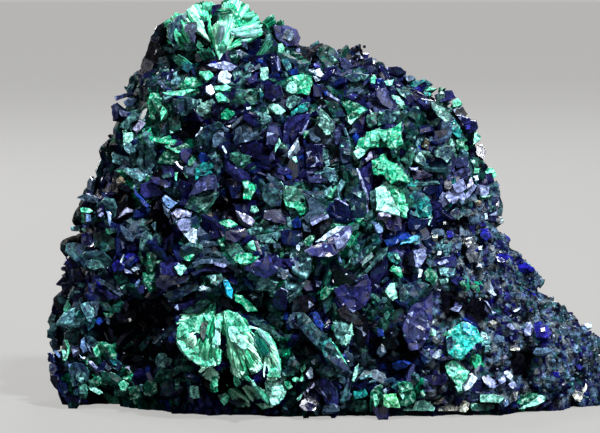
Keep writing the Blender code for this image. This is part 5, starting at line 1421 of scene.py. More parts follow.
def anchor_at(x, y):
    """The point of the core under a pixel; past the edge, one as deep as the nearest edge."""
    ray = eye.ray(x, y)
    for share in INWARD_SHARES:
        hit, _ = surface.seen(x + (SPECIMEN_MIDDLE[0] - x) * share, y + (SPECIMEN_MIDDLE[1] - y) * share)
        if hit:
            return eye.place + ray * (eye.depth(hit) / ray.dot(eye.forward))
    raise ValueError(f"no core near pixel {x}, {y}")


def neighbours(x, y, reach):
    """A pixel and the eight round it."""
    return [(x + i * reach, y + j * reach) for i in (-1, 0, 1) for j in (-1, 0, 1)]


def calm_normal(x, y):
    """The core's normal round a pixel, without its small bumps."""
    total = Vector()
    for spot in neighbours(x, y, CALM_REACH["normal"]):
        hit, normal = surface.seen(*spot)
        if hit:
            total += normal
    return total.normalized() if total.length > 0.1 else -eye.forward


def calm_depth(x, y):
    """How far from the camera the core is round a pixel."""
    return float(np.mean([(anchor_at(*spot) - eye.place).length
                          for spot in neighbours(x, y, CALM_REACH["depth"])]))


class Cover:
    """How near to the camera the front's own crystals are, pixel by pixel."""

    def __init__(self):
        self.depth = np.full((PHOTO_HEIGHT, PHOTO_WIDTH), np.inf)

    def lay(self, outline, depth):
        """Marks the pixels inside an outline with a depth."""
        low = np.maximum(np.floor(outline.min(axis=0)).astype(int), 0)
        high = np.minimum(np.ceil(outline.max(axis=0)).astype(int) + 1, (PHOTO_WIDTH, PHOTO_HEIGHT))
        middles = np.meshgrid(np.arange(low[0], high[0]) + 0.5, np.arange(low[1], high[1]) + 0.5)
        inside = inside_outline(np.stack(middles, axis=-1), outline)
        part = self.depth[low[1]:high[1], low[0]:high[0]]
        part[inside] = np.minimum(part[inside], depth)

    def before(self, points, slack):
        """True for points that stand in front of the cover, or less than the slack behind it."""
        pixels = np.floor(eye.pixels(points)).astype(int)
        seen = ((pixels >= 0) & (pixels < (PHOTO_WIDTH, PHOTO_HEIGHT))).all(axis=1)
        depth = (points - np.array(eye.place)) @ np.array(eye.forward)
        found = np.zeros(len(points), dtype=bool)
        own = self.depth[pixels[seen, 1], pixels[seen, 0]]
        found[seen] = np.isfinite(own) & (depth[seen] < own + slack)
        return found


cover = Cover()


def outline_rings(flat, size, root):
    """Rings of one faceted crystal, from its root to its face: (outline in the face's plane, height)."""
    middle = flat.mean(axis=0)
    edge = EDGE_WIDTH[0] + EDGE_WIDTH[1] * size
    return [(root[:2] + (flat - middle) * FOOT, root[2]),
            (middle + (flat - middle) * WAIST, -edge * 3.0),
            (flat, -edge),
            (middle + (flat - middle) * (1 - 0.10 / (0.5 + size)), 0.0)]


def crumpled_cap(ring, rng):
    """Points inside a ring, and triangles over the ring's points (numbered first) and these."""
    middle = ring.mean(axis=0)
    core = middle + (ring - middle) * CAP_EDGE
    low = core.min(axis=0)
    high = core.max(axis=0)
    steps = [np.arange(low[i] + CAP_SPACING * rng.uniform(0.3, 0.7), high[i], CAP_SPACING) for i in (0, 1)]
    grid = np.stack(np.meshgrid(*steps), axis=-1).reshape(-1, 2)
    grid = grid + rng.uniform(-CAP_STRAY, CAP_STRAY, grid.shape) * CAP_SPACING
    inside = inside_outline(grid, core)
    points = grid[inside] if inside.any() else middle[None]
    count = len(ring)
    spots = [Vector(p) for p in np.vstack((ring, points))]
    edges = [(i, (i + 1) % count) for i in range(count)]
    made, _, faces, origins, _, _ = geometry.delaunay_2d_cdt(spots, edges, [], 1, 1e-6)
    if len(made) != len(spots) or any(len(o) != 1 for o in origins):
        return middle[None], [(i, (i + 1) % count, count) for i in range(count)]
    way = -1 if signed_area(ring) < 0 else 1
    return points, [tuple(origins[i][0] for i in face)[::way] for face in faces]


def chipped(outline, rng):
    """The outline with its long edges broken by small chips."""
    made = []
    for start, end in zip(outline, np.roll(outline, -1, axis=0)):
        made.append(start)
        length = math.hypot(*(end - start))
        across = np.array((start[1] - end[1], end[0] - start[0])) / max(length, 1e-6)
        pieces = min(MOST_CHIPS, int(length / CHIP_LENGTH))
        for step in range(1, pieces + 1):
            share = (step + rng.uniform(-0.25, 0.25)) / (pieces + 1)
            made.append(start + (end - start) * share + across * rng.normal(0, CHIP_DEPTH))
    return np.array(made)


def face_direction(x, y, anchor, outward, bright, rng):
    """Where a face looks: to the camera, out of the core, and toward the light if its tint is a bright one."""
    half = ((Vector(KEY_PLACE) / MM - anchor).normalized() + outward).normalized()
    swing = Vector((rng.normal(0, FACE_SWING), 0.0, rng.normal(0, FACE_SWING)))
    return (outward + calm_normal(x, y) * CORE_PULL + swing + half * LIGHT_PULL[bright]).normalized()


def laid_flat(outline, through, face):
    """The axes along, side and face of a plane, and an outline of pixels as seen on it."""
    spots = []
    for x, y in outline:
        ray = eye.ray(x, y)
        spots.append(eye.place + ray * ((through - eye.place).dot(face) / ray.dot(face)))
    longest = max(range(len(spots)), key=lambda i: (spots[i] - spots[i - 1]).length)
    along = (spots[longest] - spots[longest - 1]).normalized()
    axes = np.array((along, face.cross(along), face))
    return axes, (np.array(spots) - np.array(through)) @ axes[:2].T


def facet_shades(kind, colour, corners, caps, rng):
    """Colours of a facet's polygons: painted shade at the root and walls, a painted highlight on the bevel and some
    of its edges, painted glints on the face, and uneven tones on the face.
    """
    walls = 1 + len(WALL_SHADING_TONES) * corners
    bevel = walls - corners
    tones = np.concatenate((WALL_SHADING_TONES[:1], np.repeat(WALL_SHADING_TONES, corners), np.ones(caps)))
    tones *= rng.uniform(*TONE_RANGE, len(tones))
    tones[walls:] *= rng.choice(CAP_TONES, caps)
    shades = np.array(colour)[None, :] * tones[:, None]
    # painted glints on some triangles of the face, and painted highlights on a run of bevel edges
    sparkling = rng.random(caps) < SPARKLE_SHARE
    shades[walls:][sparkling] += PAINTED_HIGHLIGHT[kind]
    if rng.random() < EDGE_HIGHLIGHT_SHARE:
        first = rng.integers(corners)
        for step in range(rng.integers(1, 2 + corners // 4)):
            shades[bevel + (first + step) % corners] += PAINTED_HIGHLIGHT[kind]
    return shades


def place_facet(tint, stand, corners, rng):
    """One crystal whose face has the given outline in the photograph."""
    kind, colour = TINTS[tint]
    outline = as_pixels(corners)
    x, y = outline.mean(axis=0)
    area = signed_area(outline)
    size = math.sqrt(abs(area)) * MM_PER_PIXEL
    outline = chipped(outline if area > 0 else outline[::-1], rng)
    if tint == "black" and stand < HOLLOW_STAND:
        cover.lay(outline, HOLLOW_DEPTH)
        return
    anchor = anchor_at(x, y)
    outward = -eye.ray(x, y)
    face = face_direction(x, y, anchor, outward, max(colour) > LEANING, rng)
    through = anchor + outward * stand
    axes, flat = laid_flat(outline, through, face)
    ground, ground_normal, _, _ = surface.tree.find_nearest(through)
    root = axes @ np.array(ground - ground_normal * ROOT_DEPTH - through)
    root[2] = min(root[2], -SHORTEST)
    rings = outline_rings(flat, size, root)
    inner, cap = crumpled_cap(rings[-1][0], rng)
    crumple = min(CRUMPLE_MOST, size * CRUMPLE[kind])
    count = len(flat)
    local = [np.column_stack((ring, np.full(count, height))) for ring, height in rings]
    local = np.vstack(local + [np.column_stack((inner, rng.normal(0.4, 0.9, len(inner)) * crumple))])
    last = (len(rings) - 1) * count
    polygons = blade_polygons(len(rings), count)[:-1] + [tuple(last + i for i in corner) for corner in cap]
    if signed_area(flat) < 0:
        polygons = [p[::-1] for p in polygons]
    shades = facet_shades(kind, colour, count, len(cap), rng)
    grains = local + rng.uniform(-GRAIN_SPREAD, GRAIN_SPREAD, 3)
    piles[kind].add((np.array(through) + local @ axes)[None], polygons, shades[None], grains[None])
    cover.lay(outline, eye.depth(through))


# ----------------------------------------------------------------------------------------------- sprays

SECTION = ((1, 0), (0, 1), (-1, 0), (0, -1))      # a fibre's corners: across and out
FIBRE_SEGMENTS = 5
FIBRE_PITCH = 0.75
FIBRE_LAYERS = 3
LAYER_DEPTH = 0.26
# painted shade: each layer below the top one is this much darker
LAYER_SHADE = 0.16
SHEAF_WIDTH = (0.10, 0.21)        # half widths of fibres in sheaves and in fans (mm)
FAN_WIDTH = (0.09, 0.20)
SHEAF_BULGE = 0.14
SHEAF_LEAN = 0.7                  # how far a sheaf's tip stands off more than its middle, and its root less (mm)
SHEAF_COVER = 0.4
FAN_LIFT = 0.3
FAN_COVER = 0.5
# painted light: a fold that is raised is also made brighter
FAN_FOLDS = (0.5, 0.35)           # what a fold adds to the height (mm) and to the brightness
SPRAY_GAINS = {"lower": 0.32, "crown": 0.14}
# Colours of fans' fibres by their brightness.
# the palest stop is pale malachite and partly a painted highlight
SPRAY_STOPS = ((0.0, (0.002, 0.050, 0.028)), (0.30, (0.004, 0.250, 0.110)), (0.62, (0.080, 0.660, 0.360)),
               (1.0, (0.480, 0.930, 0.720)))


def lay_fibre(pile, rng, spine, across, out, turn, width, thick, tip, colours, reach):
    """One fibre of four sides along a spine: colours are those of its stretches, reach its grain's length."""
    wide = across * math.cos(turn) + out * math.sin(turn)
    tall = out * math.cos(turn) - across * math.sin(turn)
    rings = np.stack([spine + (wide * (a * width) + tall * (b * thick))[None] * tip[:, None]
                      for a, b in SECTION], axis=1)
    polygons = blade_polygons(len(spine), len(SECTION))
    if np.dot(np.cross(wide, tall), spine[-1] - spine[0]) < 0:
        polygons = [p[::-1] for p in polygons]
    shades = np.concatenate((colours[:1], np.repeat(colours, len(SECTION), axis=0), colours[-1:]))
    grain = np.column_stack((np.repeat(reach, len(SECTION)), np.tile([a * width for a, _ in SECTION], len(spine)),
                             np.tile([b * thick for _, b in SECTION], len(spine))))
    grain = grain + rng.uniform(-GRAIN_SPREAD, GRAIN_SPREAD, 3)
    pile.add(rings.reshape(1, -1, 3), polygons, shades[None], grain[None])


def tapered(first, last):
    """Widths along a fibre: full, but for its two ends."""
    return np.array([first] + [1.0] * (FIBRE_SEGMENTS - 1) + [last])


def grow_fibres(pile, rng, root, tip, across, out, widths, low, high):
    """A sheaf of flat fibres side by side in a few layers, from root to tip (mm)."""
    count = max(3, int(max(widths) / (FIBRE_PITCH * MM_PER_PIXEL)))
    stops = np.linspace(0, 1, FIBRE_SEGMENTS + 1)
    root, tip, across, out = (np.array(v) for v in (root, tip, across, out))
    span = tip - root
    low, high = (np.array(TINTS[tint][1])[None] for tint in (low, high))
    for layer in range(FIBRE_LAYERS):
        for number in range(count):
            u = (number + rng.uniform(0.1, 0.9)) / count - 0.5
            start = rng.uniform(-0.02, 0.45) * (layer < FIBRE_LAYERS - 1)
            end = rng.uniform(0.80, 1.06) - 0.10 * abs(u) * 2
            t = start + (end - start) * stops
            spread = widths[0] + (widths[1] - widths[0]) * np.minimum(1.0, t * 1.15)
            lift = SHEAF_BULGE * (1 - (2 * u) ** 2) * np.sin(np.pi * np.clip(t, 0, 1)) - LAYER_DEPTH * layer
            lift = lift + rng.normal(0, 0.06)
            spine = (root[None] + span[None] * t[:, None] + across[None] * (spread * u)[:, None]
                     + out[None] * lift[:, None])
            width = rng.uniform(*SHEAF_WIDTH)
            thick = width * rng.uniform(0.5, 0.8)
            tip_widths = tapered(0.5, rng.uniform(0.2, 0.8))
            turn = rng.uniform(-0.5, 0.5)
            streak = noise.noise(Vector((u * 9.0, rng.uniform(0, 3), layer * 5.0)))
            # painted shade: lower layers are darker
            level = 0.5 + 0.6 * streak + rng.normal(0, 0.22) - LAYER_SHADE * layer
            levels = np.clip(level + rng.normal(0, 0.16, FIBRE_SEGMENTS), 0, 1)[:, None]
            lay_fibre(pile, rng, spine, across, out, turn, width, thick, tip_widths,
                      low * (1 - levels) + high * levels, np.linalg.norm(span) * t)


def place_sheaf(pile, rng, low, high, stand, x1, y1, x2, y2, width1, width2):
    """A sheaf of the front, between two pixels."""
    first, last = np.array((x1, y1)), np.array((x2, y2))
    spot = (first + last) / 2
    outward = -eye.ray(*spot)
    root = anchor_at(x1, y1) + outward * (stand - SHEAF_LEAN)
    tip = anchor_at(x2, y2) + outward * (stand + SHEAF_LEAN)
    middle = anchor_at(*spot)
    bulge = max(0.0, ((middle + outward * stand) - (root + tip) / 2).dot(outward))
    root = root + outward * bulge * 0.5
    tip = tip + outward * bulge * 0.5
    along = (tip - root).normalized()
    across = along.cross(outward).normalized()
    out = across.cross(along).normalized()
    grow_fibres(pile, rng, root, tip, across, out, (width1 * MM_PER_PIXEL, width2 * MM_PER_PIXEL), low, high)
    way = (last - first) / math.hypot(x2 - x1, y2 - y1)
    side = np.array((-way[1], way[0])) / 2
    quad = np.array((first + side * width1, last + side * width2, last - side * width2, first - side * width1))
    cover.lay(quad, eye.depth(middle + outward * (stand - SHEAF_COVER)))


def spray_colours(levels):
    """Colours of fibres by their brightness."""
    stops = [stop for stop, _ in SPRAY_STOPS]
    return np.stack([np.interp(levels, stops, [colour[i] for _, colour in SPRAY_STOPS]) for i in range(3)], axis=-1)


def place_fan(pile, rng, gain, brightness, stand, count, root, tips):
    """Fibres that radiate from one pixel to an edge, close to the core."""
    root = np.array(root, dtype=float)
    tips = as_pixels(tips)
    root_depth = calm_depth(*root)
    middle_depths = [calm_depth(*(root + (tip - root) * 0.5)) for tip in tips]
    tip_depths = [calm_depth(*tip) for tip in tips]
    places = np.arange(len(tips))
    phase = rng.uniform(0, 100)
    outward = -np.array(eye.forward)
    for _ in range(count):
        way = rng.uniform(0, len(tips) - 1)
        tip = np.array([np.interp(way, places, tips[:, 0]), np.interp(way, places, tips[:, 1])])
        middle_depth = np.interp(way, places, middle_depths)
        tip_depth = np.interp(way, places, tip_depths)
        start = rng.uniform(0.0, 0.60)
        end = min(1.04, start + rng.uniform(0.35, 0.75))
        t = start + (end - start) * np.linspace(0, 1, FIBRE_SEGMENTS + 1)
        # the depth of a curve through root, middle and tip
        depth = (root_depth * (1 - t) * (1 - 2 * t) + 4 * middle_depth * t * (1 - t)
                 + tip_depth * t * (2 * t - 1))
        folds = noise.noise(Vector((way * 1.7, start * 1.5, phase)))
        lift = (FAN_LIFT + stand * (0.35 + 0.65 * t) + folds * FAN_FOLDS[0] - rng.uniform(0, 0.55)
                + rng.normal(0, 0.05))
        swerve = rng.normal(0, 0.5)
        side = np.array((root[1] - tip[1], tip[0] - root[0])) / max(math.hypot(*(tip - root)), 1.0)
        spots = root + (tip - root) * t[:, None] + side * (swerve * np.sin(np.pi * t))[:, None]
        spine = np.array([np.array(eye.place + eye.ray(*spot) * (d - l)) for spot, d, l in zip(spots, depth, lift)])
        streak = noise.noise(Vector((way * 6.0, start * 0.7, phase + 21)))
        patch = noise.noise(Vector((way * 2.4, end * 1.4, phase + 9)))
        # painted light and shade: raised folds are brighter
        level = brightness + gain + 0.30 * patch + folds * FAN_FOLDS[1] + 0.45 * streak + rng.normal(0, 0.08)
        levels = np.clip(level + rng.normal(0, 0.06, FIBRE_SEGMENTS), 0, 1)
        width = rng.uniform(*FAN_WIDTH)
        turn = rng.uniform(-0.6, 0.6)
        thick = width * rng.uniform(0.5, 0.8)
        along = spine[-1] - spine[0]
        across = np.cross(along, outward)
        across = across / np.linalg.norm(across)
        out = np.cross(across, along / np.linalg.norm(along))
        lay_fibre(pile, rng, spine, across, out, turn, width, thick, tapered(0.4, rng.uniform(0.2, 0.7)),
                  spray_colours(levels), np.linalg.norm(spine - spine[0], axis=1))
    edge = np.vstack((root[None], tips))
    cover.lay(edge, eye.depth(anchor_at(*edge.mean(axis=0))) - stand + FAN_COVER)


def place_front():
    """The front's own crystals, fans and sheaves."""
    rng = np.random.default_rng(SEED)
    for row in LEAVES:
        place_facet(*row, rng)
    for name, fans in (("lower", LOWER_FANS), ("crown", CROWN_FANS)):
        for row in fans:
            place_fan(spray_piles[name], rng, SPRAY_GAINS[name], *row)
    for name, sheaves in (("lower", LOWER_SHEAVES), ("crown", CROWN_SHEAVES)):
        for row in sheaves:
            place_sheaf(spray_piles[name], rng, *row)
    for row in FACETS:
        place_facet(*row, rng)


HIDDEN_TRIES = 9000
HIDDEN_SPACING = 1.9
HIDDEN_WIDTH = (1.2, 2.0)
HIDDEN_ROOT_WIDTH = 0.6
HIDDEN_TINTS = (("emerald", "mint"), ("bright", "mintwhite"), ("moss", "mint"), ("darkgreen", "bright"))
# The sprays where the photograph doesn't see them: middle and radius (mm), which places, and lengths.
HIDDEN_SHEAVES = (
    ("crown", (-14.6, -3.5, 47.0), 9.5, lambda p, n: p.z > 43.5 and n.y > -0.25 and n.z > -0.3, (2.5, 4.5)),
    ("lower", (-13.6, -16.0, 9.0), 10.0,
     lambda p, n: p.z < 15.0 and n.y < 0.1 and abs(n.x) > 0.75 and p.y < -12.0, (2.0, 3.5)),
)


def grow_hidden_sheaves(rng, name, middle, radius, wanted, lengths):
    """Sheaves that carry a spray round to where the photograph doesn't see it."""
    for point, normal in zip(*surface.places(rng, HIDDEN_TRIES, HIDDEN_SPACING)):
        point = Vector(point)
        normal = Vector(normal)
        away = point - Vector(middle)
        if away.length > radius or not wanted(point, normal):
            continue
        along = away - normal * away.dot(normal)
        if along.length < 0.3:
            along = normal.orthogonal()
        along.normalize()
        across = along.cross(normal).normalized()
        length = rng.uniform(*lengths)
        root = point - along * length * 0.5 + normal * 0.1
        tip = point + along * length * 0.5 + normal * 0.5
        low, high = HIDDEN_TINTS[rng.integers(len(HIDDEN_TINTS))]
        grow_fibres(spray_piles[name], rng, root, tip, across, normal,
                    (HIDDEN_ROOT_WIDTH, rng.uniform(*HIDDEN_WIDTH)), low, high)


# --------------------------------------------------------------------------------------- crystals all over

# Tints of the crystals that the photograph doesn't tell apart, with their weights.
MIXES = {
    "violet": (("deep", 0.30), ("navy", 0.22), ("violet", 0.16), ("black", 0.10), ("mauve", 0.06),
               ("slate", 0.06), ("slategreen", 0.06), ("blue", 0.03), ("royal", 0.01)),
    "navy": (("deep", 0.26), ("navy", 0.24), ("black", 0.12), ("violet", 0.10), ("darkgreen", 0.12),
             ("slate", 0.06), ("slategreen", 0.08), ("mauve", 0.02)),
    "green": (("darkgreen", 0.30), ("teal", 0.04), ("slategreen", 0.22), ("moss", 0.10), ("navy", 0.14),
              ("deep", 0.08), ("black", 0.06), ("greygreen", 0.06)),
    "mint": (("bright", 0.16), ("mint", 0.08), ("emerald", 0.20), ("aqua", 0.08), ("darkgreen", 0.22),
             ("greygreen", 0.12), ("navy", 0.14)),
    # edge: mostly the darkest tints, for places seen edge-on: painted shade along the outline
    "edge": (("black", 0.30), ("deep", 0.34), ("navy", 0.14), ("slate", 0.12), ("slategreen", 0.10)),
    "flank": (("slate", 0.28), ("ash", 0.24), ("deep", 0.14), ("navy", 0.05), ("black", 0.12), ("slategreen", 0.10),
              ("royal", 0.02), ("mauve", 0.07)),
}
GREEN_FIELD = 11.0                # size of the broad patches (mm)
PATCHES = ((0.38, "mint"), (0.12, "green"))
VIOLET_BELOW = -0.1
EDGE = 0.34                       # cosine below which a place counts as the specimen's edge
EDGE_SHARE = 0.75
BORROW_SHARE = 0.65               # fillers of the front that take a tint of the photograph's own crystals
BORROW_REACH = 15.0               # pixels
FLANK_REACH = 5.0
BORROW_DIM = 0.17                 # the brightest tint that is often borrowed
BRIGHT_BORROWED = 0.05
RARE = ("tan", "cream", "royal", "blue", "teal", "cyan")     # tints that stay with the photograph's own crystals
FRONT_DIM = 1.10                  # fillers of the front beside the photograph's own crystals
# painted light: the crust of the flank is made this much brighter, where the light falls on it
FLANK_LIGHT_GAIN = 2.4

# Generations of blades: pile, tries, spacing and lengths (mm), width and thickness as shares of the length,
# how slowly their axes turn (mm), profile, sides and seed.
GENERATIONS = (
    ("", 9000, 2.9, (3.6, 6.0), (0.50, 0.75), (0.12, 0.24), 8.0, TABULAR, 7, 1),
    ("", 22000, 1.75, (2.2, 3.8), (0.50, 0.80), (0.16, 0.32), 6.0, TABULAR, 6, 2),
    ("small_", 60000, 1.05, (1.3, 2.4), (0.40, 0.75), (0.16, 0.36), 4.0, SIMPLE, 5, 3),
)
RIM = 0.50                        # cosine below which a place is seen edge-on
RIM_SIZE = 0.46
RIM_SHARE = 0.12
FLANK_BACK = 0.2                  # normals past this look to the back, where blades grow on the flank too
OVERHANG = -0.85                  # normals lower than this belong to the base
LOWEST = 0.25                     # share of a blade's least length that it stands above the base
# How blades turn: swing of their axes, lean off the ground and roll, and at the rim also the field's strength.
BLADE_TURNS = (0.5, (0.0, 0.7), 0.5)
RIM_TURNS = (0.5, (0.0, 0.3), 0.2, 0.6)
BLADE_LIFT = 0.20                 # how far blades are pushed out along themselves, as a share of their length
DIP = 0.06                        # and down into the ground, away from the rim and at it
RIM_DIP = 0.20
BLADE_TONES = (0.75, 1.6, 3)      # how uneven colours are, from low to high, and how much bright ones are dimmed
GROUND_TONES = (0.6, 1.4, 3)
# the druse's tones run higher, as painted light on the flank
DRUSE_TONES = (0.9, 2.6, 2)
# painted shade in the creases between the crust's grains
CREASE_SHADE_TONES = (0.25, 2.5)        # brightness in the creases of the ground, and its growth away from them
HIDING_SLACK = (-0.2, 0.1)        # mm before the front's own crystals for middles and corners of fillers
HIDING_CORNERS = [(i, j, k) for i in (-0.5, 0.5) for j in (-0.4, 0.4) for k in (-0.5, 0.5)]
SINKING_STEPS = 4
SINKING = 0.5                     # mm
JUT = 8.0                         # pixels
SPARE = 0.012                     # how far fillers may pass the CAD's bounds, as a share of each side

# Generations of the druse: spacing, lengths, lift off the crust (mm), and how many of the places are taken.
DRUSE = ((1.9, (1.4, 2.8), -0.4, 0.25), (0.85, (0.7, 1.5), -0.1, 0.45), (0.55, (0.35, 0.75), 0.05, 0.6))
DRUSE_TRIES = 150000
DRUSE_TURNS = (2.0, 1.2, (0.0, 1.3), 1.3)     # size of the field (mm), swing, lean and roll
DRUSE_STRAY = (-0.25, 0.15)       # mm up or down
DRUSE_SHAPE = ((0.6, 0.95), (0.3, 0.7))       # width and thickness as shares of the length
DRUSE_BACK = 0.3                  # normals past this look to the back, which is left to the blades
DRUSE_FOOT = 0.5
DRUSE_RIM = 0.6
BLOCKY = (SIMPLE, 5, 0.2, 0.2)    # profile, sides, how pointed and how uneven

# Where only the front's own crystals, fans and sheaves stand, as outlines in pixels.
KEPT_CLEAR = (
    (172, 300, 300, 300, 300, 345, 284, 360, 284, 384, 278, 408, 246, 408, 224, 388, 196, 384, 172, 344),
    (166, 14, 190, 0, 240, 0, 266, 18, 266, 40, 232, 62, 206, 62, 170, 50),
)
# Places of the front that lie in deep shade, as pixels of the middle and radii.
CAVES = (
    (146, 332, 34, 44), (116, 326, 20, 22), (160, 345, 14, 16), (160, 215, 18, 24), (228, 200, 16, 26),
    (75, 225, 10, 26), (182, 133, 9, 10), (355, 200, 12, 26), (300, 235, 18, 10), (453, 222, 16, 12),
    (452, 305, 16, 14), (478, 310, 14, 12), (520, 365, 10, 18), (120, 205, 14, 24), (230, 390, 22, 12),
    (395, 350, 22, 24),
)
# painted shade: most of what stands in the hollows takes the darkest tint
CAVE_HOLD = 0.95                  # share of what stands in the hollows that is black
CAVE_BARE = 0.6                   # share of the fillers left out of the hollows
CAVE_TURN = -0.2                  # how far a place may turn away and still be of the front
CLEAR_TURN = -0.1

facet_tints = [tint for tint, _, _ in FACETS]
facet_middles = np.array([as_pixels(corners).mean(axis=0) for _, _, corners in FACETS])


def in_cave(points, normals):
    """True for places that face the camera in one of the front's deep hollows."""
    pixels = eye.pixels(points)
    found = np.zeros(len(points), dtype=bool)
    for x, y, rx, ry in CAVES:
        found |= (((pixels - (x, y)) / (rx, ry)) ** 2).sum(axis=1) < 1
    return found & (eye.toward(normals) > CAVE_TURN)


def kept_clear(points, normals):
    """True for places that face the camera inside the outlines that are kept clear."""
    pixels = eye.pixels(points)
    found = np.zeros(len(points), dtype=bool)
    for corners in KEPT_CLEAR:
        found |= inside_outline(pixels, as_pixels(corners))
    return found & (eye.toward(normals) > CLEAR_TURN)


def left_bare(points, normals, rng):
    """True for the share of the hollows' places that stay bare."""
    return in_cave(points, normals) & (rng.random(len(points)) < CAVE_BARE)


def pick_from(weighted, rng):
    names, weights = zip(*weighted)
    return names[rng.choice(len(names), p=np.array(weights) / sum(weights))]


def pick_mix(point, toward, flank, rng):
    """The mix of tints that a place takes its own from."""
    field = noise.noise(Vector(point) / GREEN_FIELD + Vector((3, 9, 4)))
    if abs(toward) < EDGE and not flank and rng.random() < EDGE_SHARE:
        return "edge"
    if flank:
        return "flank"
    for level, mix in PATCHES:
        if field > level:
            return mix
    return "violet" if field < VIOLET_BELOW or toward > 0 else "navy"


def borrowed_tint(pixel, flank, rng):
    """The tint of the nearest of the front's own crystals, if it is near and common enough."""
    away = np.hypot(*(facet_middles - pixel).T)
    nearest = int(away.argmin())
    tint = facet_tints[nearest]
    common = max(TINTS[tint][1]) < BORROW_DIM and tint not in RARE or rng.random() < BRIGHT_BORROWED
    return tint if common and away[nearest] < (FLANK_REACH if flank else BORROW_REACH) else None


def pick_tints(points, normals, rng):
    """The tint of each crystal: often a neighbour's in front, elsewhere from broad patches."""
    picked = []
    places = zip(points, eye.pixels(points), eye.toward(normals), on_flank(points), in_cave(points, normals))
    for point, pixel, toward, flank, caved in places:
        # painted shade: places in the hollows mostly take the darkest tint
        if caved and rng.random() < CAVE_HOLD:
            picked.append("black")
            continue
        mix = pick_mix(point, toward, flank, rng)
        tint = None
        if mix != "edge" and toward > 0.0 and rng.random() < BORROW_SHARE:
            tint = borrowed_tint(pixel, flank, rng)
        picked.append(tint or pick_from(MIXES[mix], rng))
    return picked


def picked_colours(points, normals, rng, low, high, dimming):
    """Tints of places and their colours, uneven from low to high, and the brighter the more dimmed."""
    tints = pick_tints(points, normals, rng)
    colours = np.array([TINTS[t][1] for t in tints])
    dim = 1 + dimming * colours.max(axis=1, keepdims=True)
    return tints, colours * rng.uniform(low, high, (len(colours), 1)) / dim


def stands_out(centres, frames, sizes):
    """True for blades that would reach beyond the CAD's bounds."""
    reach = (np.abs(frames) * sizes[:, :, None]).sum(axis=1) / 2
    spare = (CAD_HIGH - CAD_LOW) * SPARE
    return ((centres - reach < CAD_LOW - spare) | (centres + reach > CAD_HIGH + spare)).any(axis=1)


def juts_out(centres, frames, sizes):
    """True for blades whose ends pass the core's outline, as the camera sees it, by more than JUT."""
    found = np.zeros(len(centres), dtype=bool)
    for end in (-0.5, 0.5):
        pixels = eye.pixels(centres + frames[:, 0] * sizes[:, :1] * end)
        away = np.array(SPECIMEN_MIDDLE) - pixels
        inward = pixels + away / np.linalg.norm(away, axis=1, keepdims=True) * JUT
        found |= np.array([surface.seen(*pixel)[0] is None for pixel in inward], dtype=bool)
    return found


def hides_front(centres, frames, sizes):
    """True for blades that would stand before one of the front's own crystals."""
    found = cover.before(centres, HIDING_SLACK[0])
    for corner in HIDING_CORNERS:
        local = sizes * np.array(corner)
        found |= cover.before(centres + np.einsum("ni,nij->nj", local, frames), HIDING_SLACK[1])
    return found


def random_sizes(length, width, thickness, rng):
    """Lengths, widths and thicknesses of crystals; the last two as shares of the first."""
    return np.stack((length, length * rng.uniform(*width, len(length)),
                     length * rng.uniform(*thickness, len(length))), axis=1)


def grow(name, tries, spacing, lengths, width, thickness, field_size, profile, sides, seed):
    """One generation of blades all over the specimen."""
    rng = np.random.default_rng(SEED + seed)
    points, normals = surface.places(rng, tries, spacing)
    wanted = (points[:, 2] > LOWEST * lengths[0]) & (normals[:, 2] > OVERHANG)
    wanted &= ~(on_flank(points) & (normals[:, 1] < FLANK_BACK)) & ~kept_clear(points, normals)
    wanted &= (np.abs(eye.toward(normals)) > RIM) | (rng.random(len(points)) < RIM_SHARE)
    points = points[wanted]
    normals = normals[wanted]
    frames = growth_frames(points, normals, rng, field_size, *BLADE_TURNS)
    rim = np.abs(eye.toward(normals)) < RIM
    frames[rim] = growth_frames(points[rim], normals[rim], rng, field_size, *RIM_TURNS)
    length = rng.uniform(*lengths, len(points)) * np.where(rim, RIM_SIZE, 1.0)
    sizes = random_sizes(length, width, thickness, rng)
    dip = length * np.where(rim, RIM_DIP, DIP)
    centres = points + frames[:, 0] * length[:, None] * BLADE_LIFT - normals * dip[:, None]
    for _ in range(SINKING_STEPS):
        hiding = hides_front(centres, frames, sizes) | stands_out(centres, frames, sizes)
        centres[hiding] -= normals[hiding] * SINKING
    clear = ~hides_front(centres, frames, sizes) & ~stands_out(centres, frames, sizes)
    clear &= ~left_bare(points, normals, rng)
    clear &= ~juts_out(centres, frames, sizes)
    tints, colours = picked_colours(points[clear], normals[clear], rng, *BLADE_TONES)
    colours = colours * np.where(eye.toward(normals[clear]) > 0.0, FRONT_DIM, 1.0)[:, None]
    kinds = np.array([TINTS[t][0] for t in tints])
    for kind in ("azurite", "altered", "malachite"):
        own = kinds == kind
        blades(piles[name + kind], rng, centres[clear][own], frames[clear][own], sizes[clear][own],
               colours[own], profile, sides)


def grow_druse():
    """Small blocky crystals crowded on the flank, on ledges and lumps."""
    rng = np.random.default_rng(SEED + 30)
    for spacing, lengths, lift, share in DRUSE:
        points, normals = surface.places(rng, DRUSE_TRIES, spacing)
        wanted = on_flank(points) & (points[:, 2] > DRUSE_FOOT) & (normals[:, 1] < DRUSE_BACK)
        wanted &= rng.random(len(points)) < share
        points = points[wanted]
        normals = normals[wanted]
        points = points + normals * (rng.uniform(*DRUSE_STRAY, len(points)) + lift)[:, None]
        frames = growth_frames(points, normals, rng, *DRUSE_TURNS)
        rim = np.abs(eye.toward(normals)) < RIM
        length = rng.uniform(*lengths, len(points)) * np.where(rim, DRUSE_RIM, 1.0)
        sizes = random_sizes(length, *DRUSE_SHAPE, rng)
        clear = ~hides_front(points, frames, sizes) & ~left_bare(points, normals, rng)
        _, colours = picked_colours(points[clear], normals[clear], rng, *DRUSE_TONES)
        blades(piles["druse"], rng, points[clear], frames[clear], sizes[clear], colours, *BLOCKY)


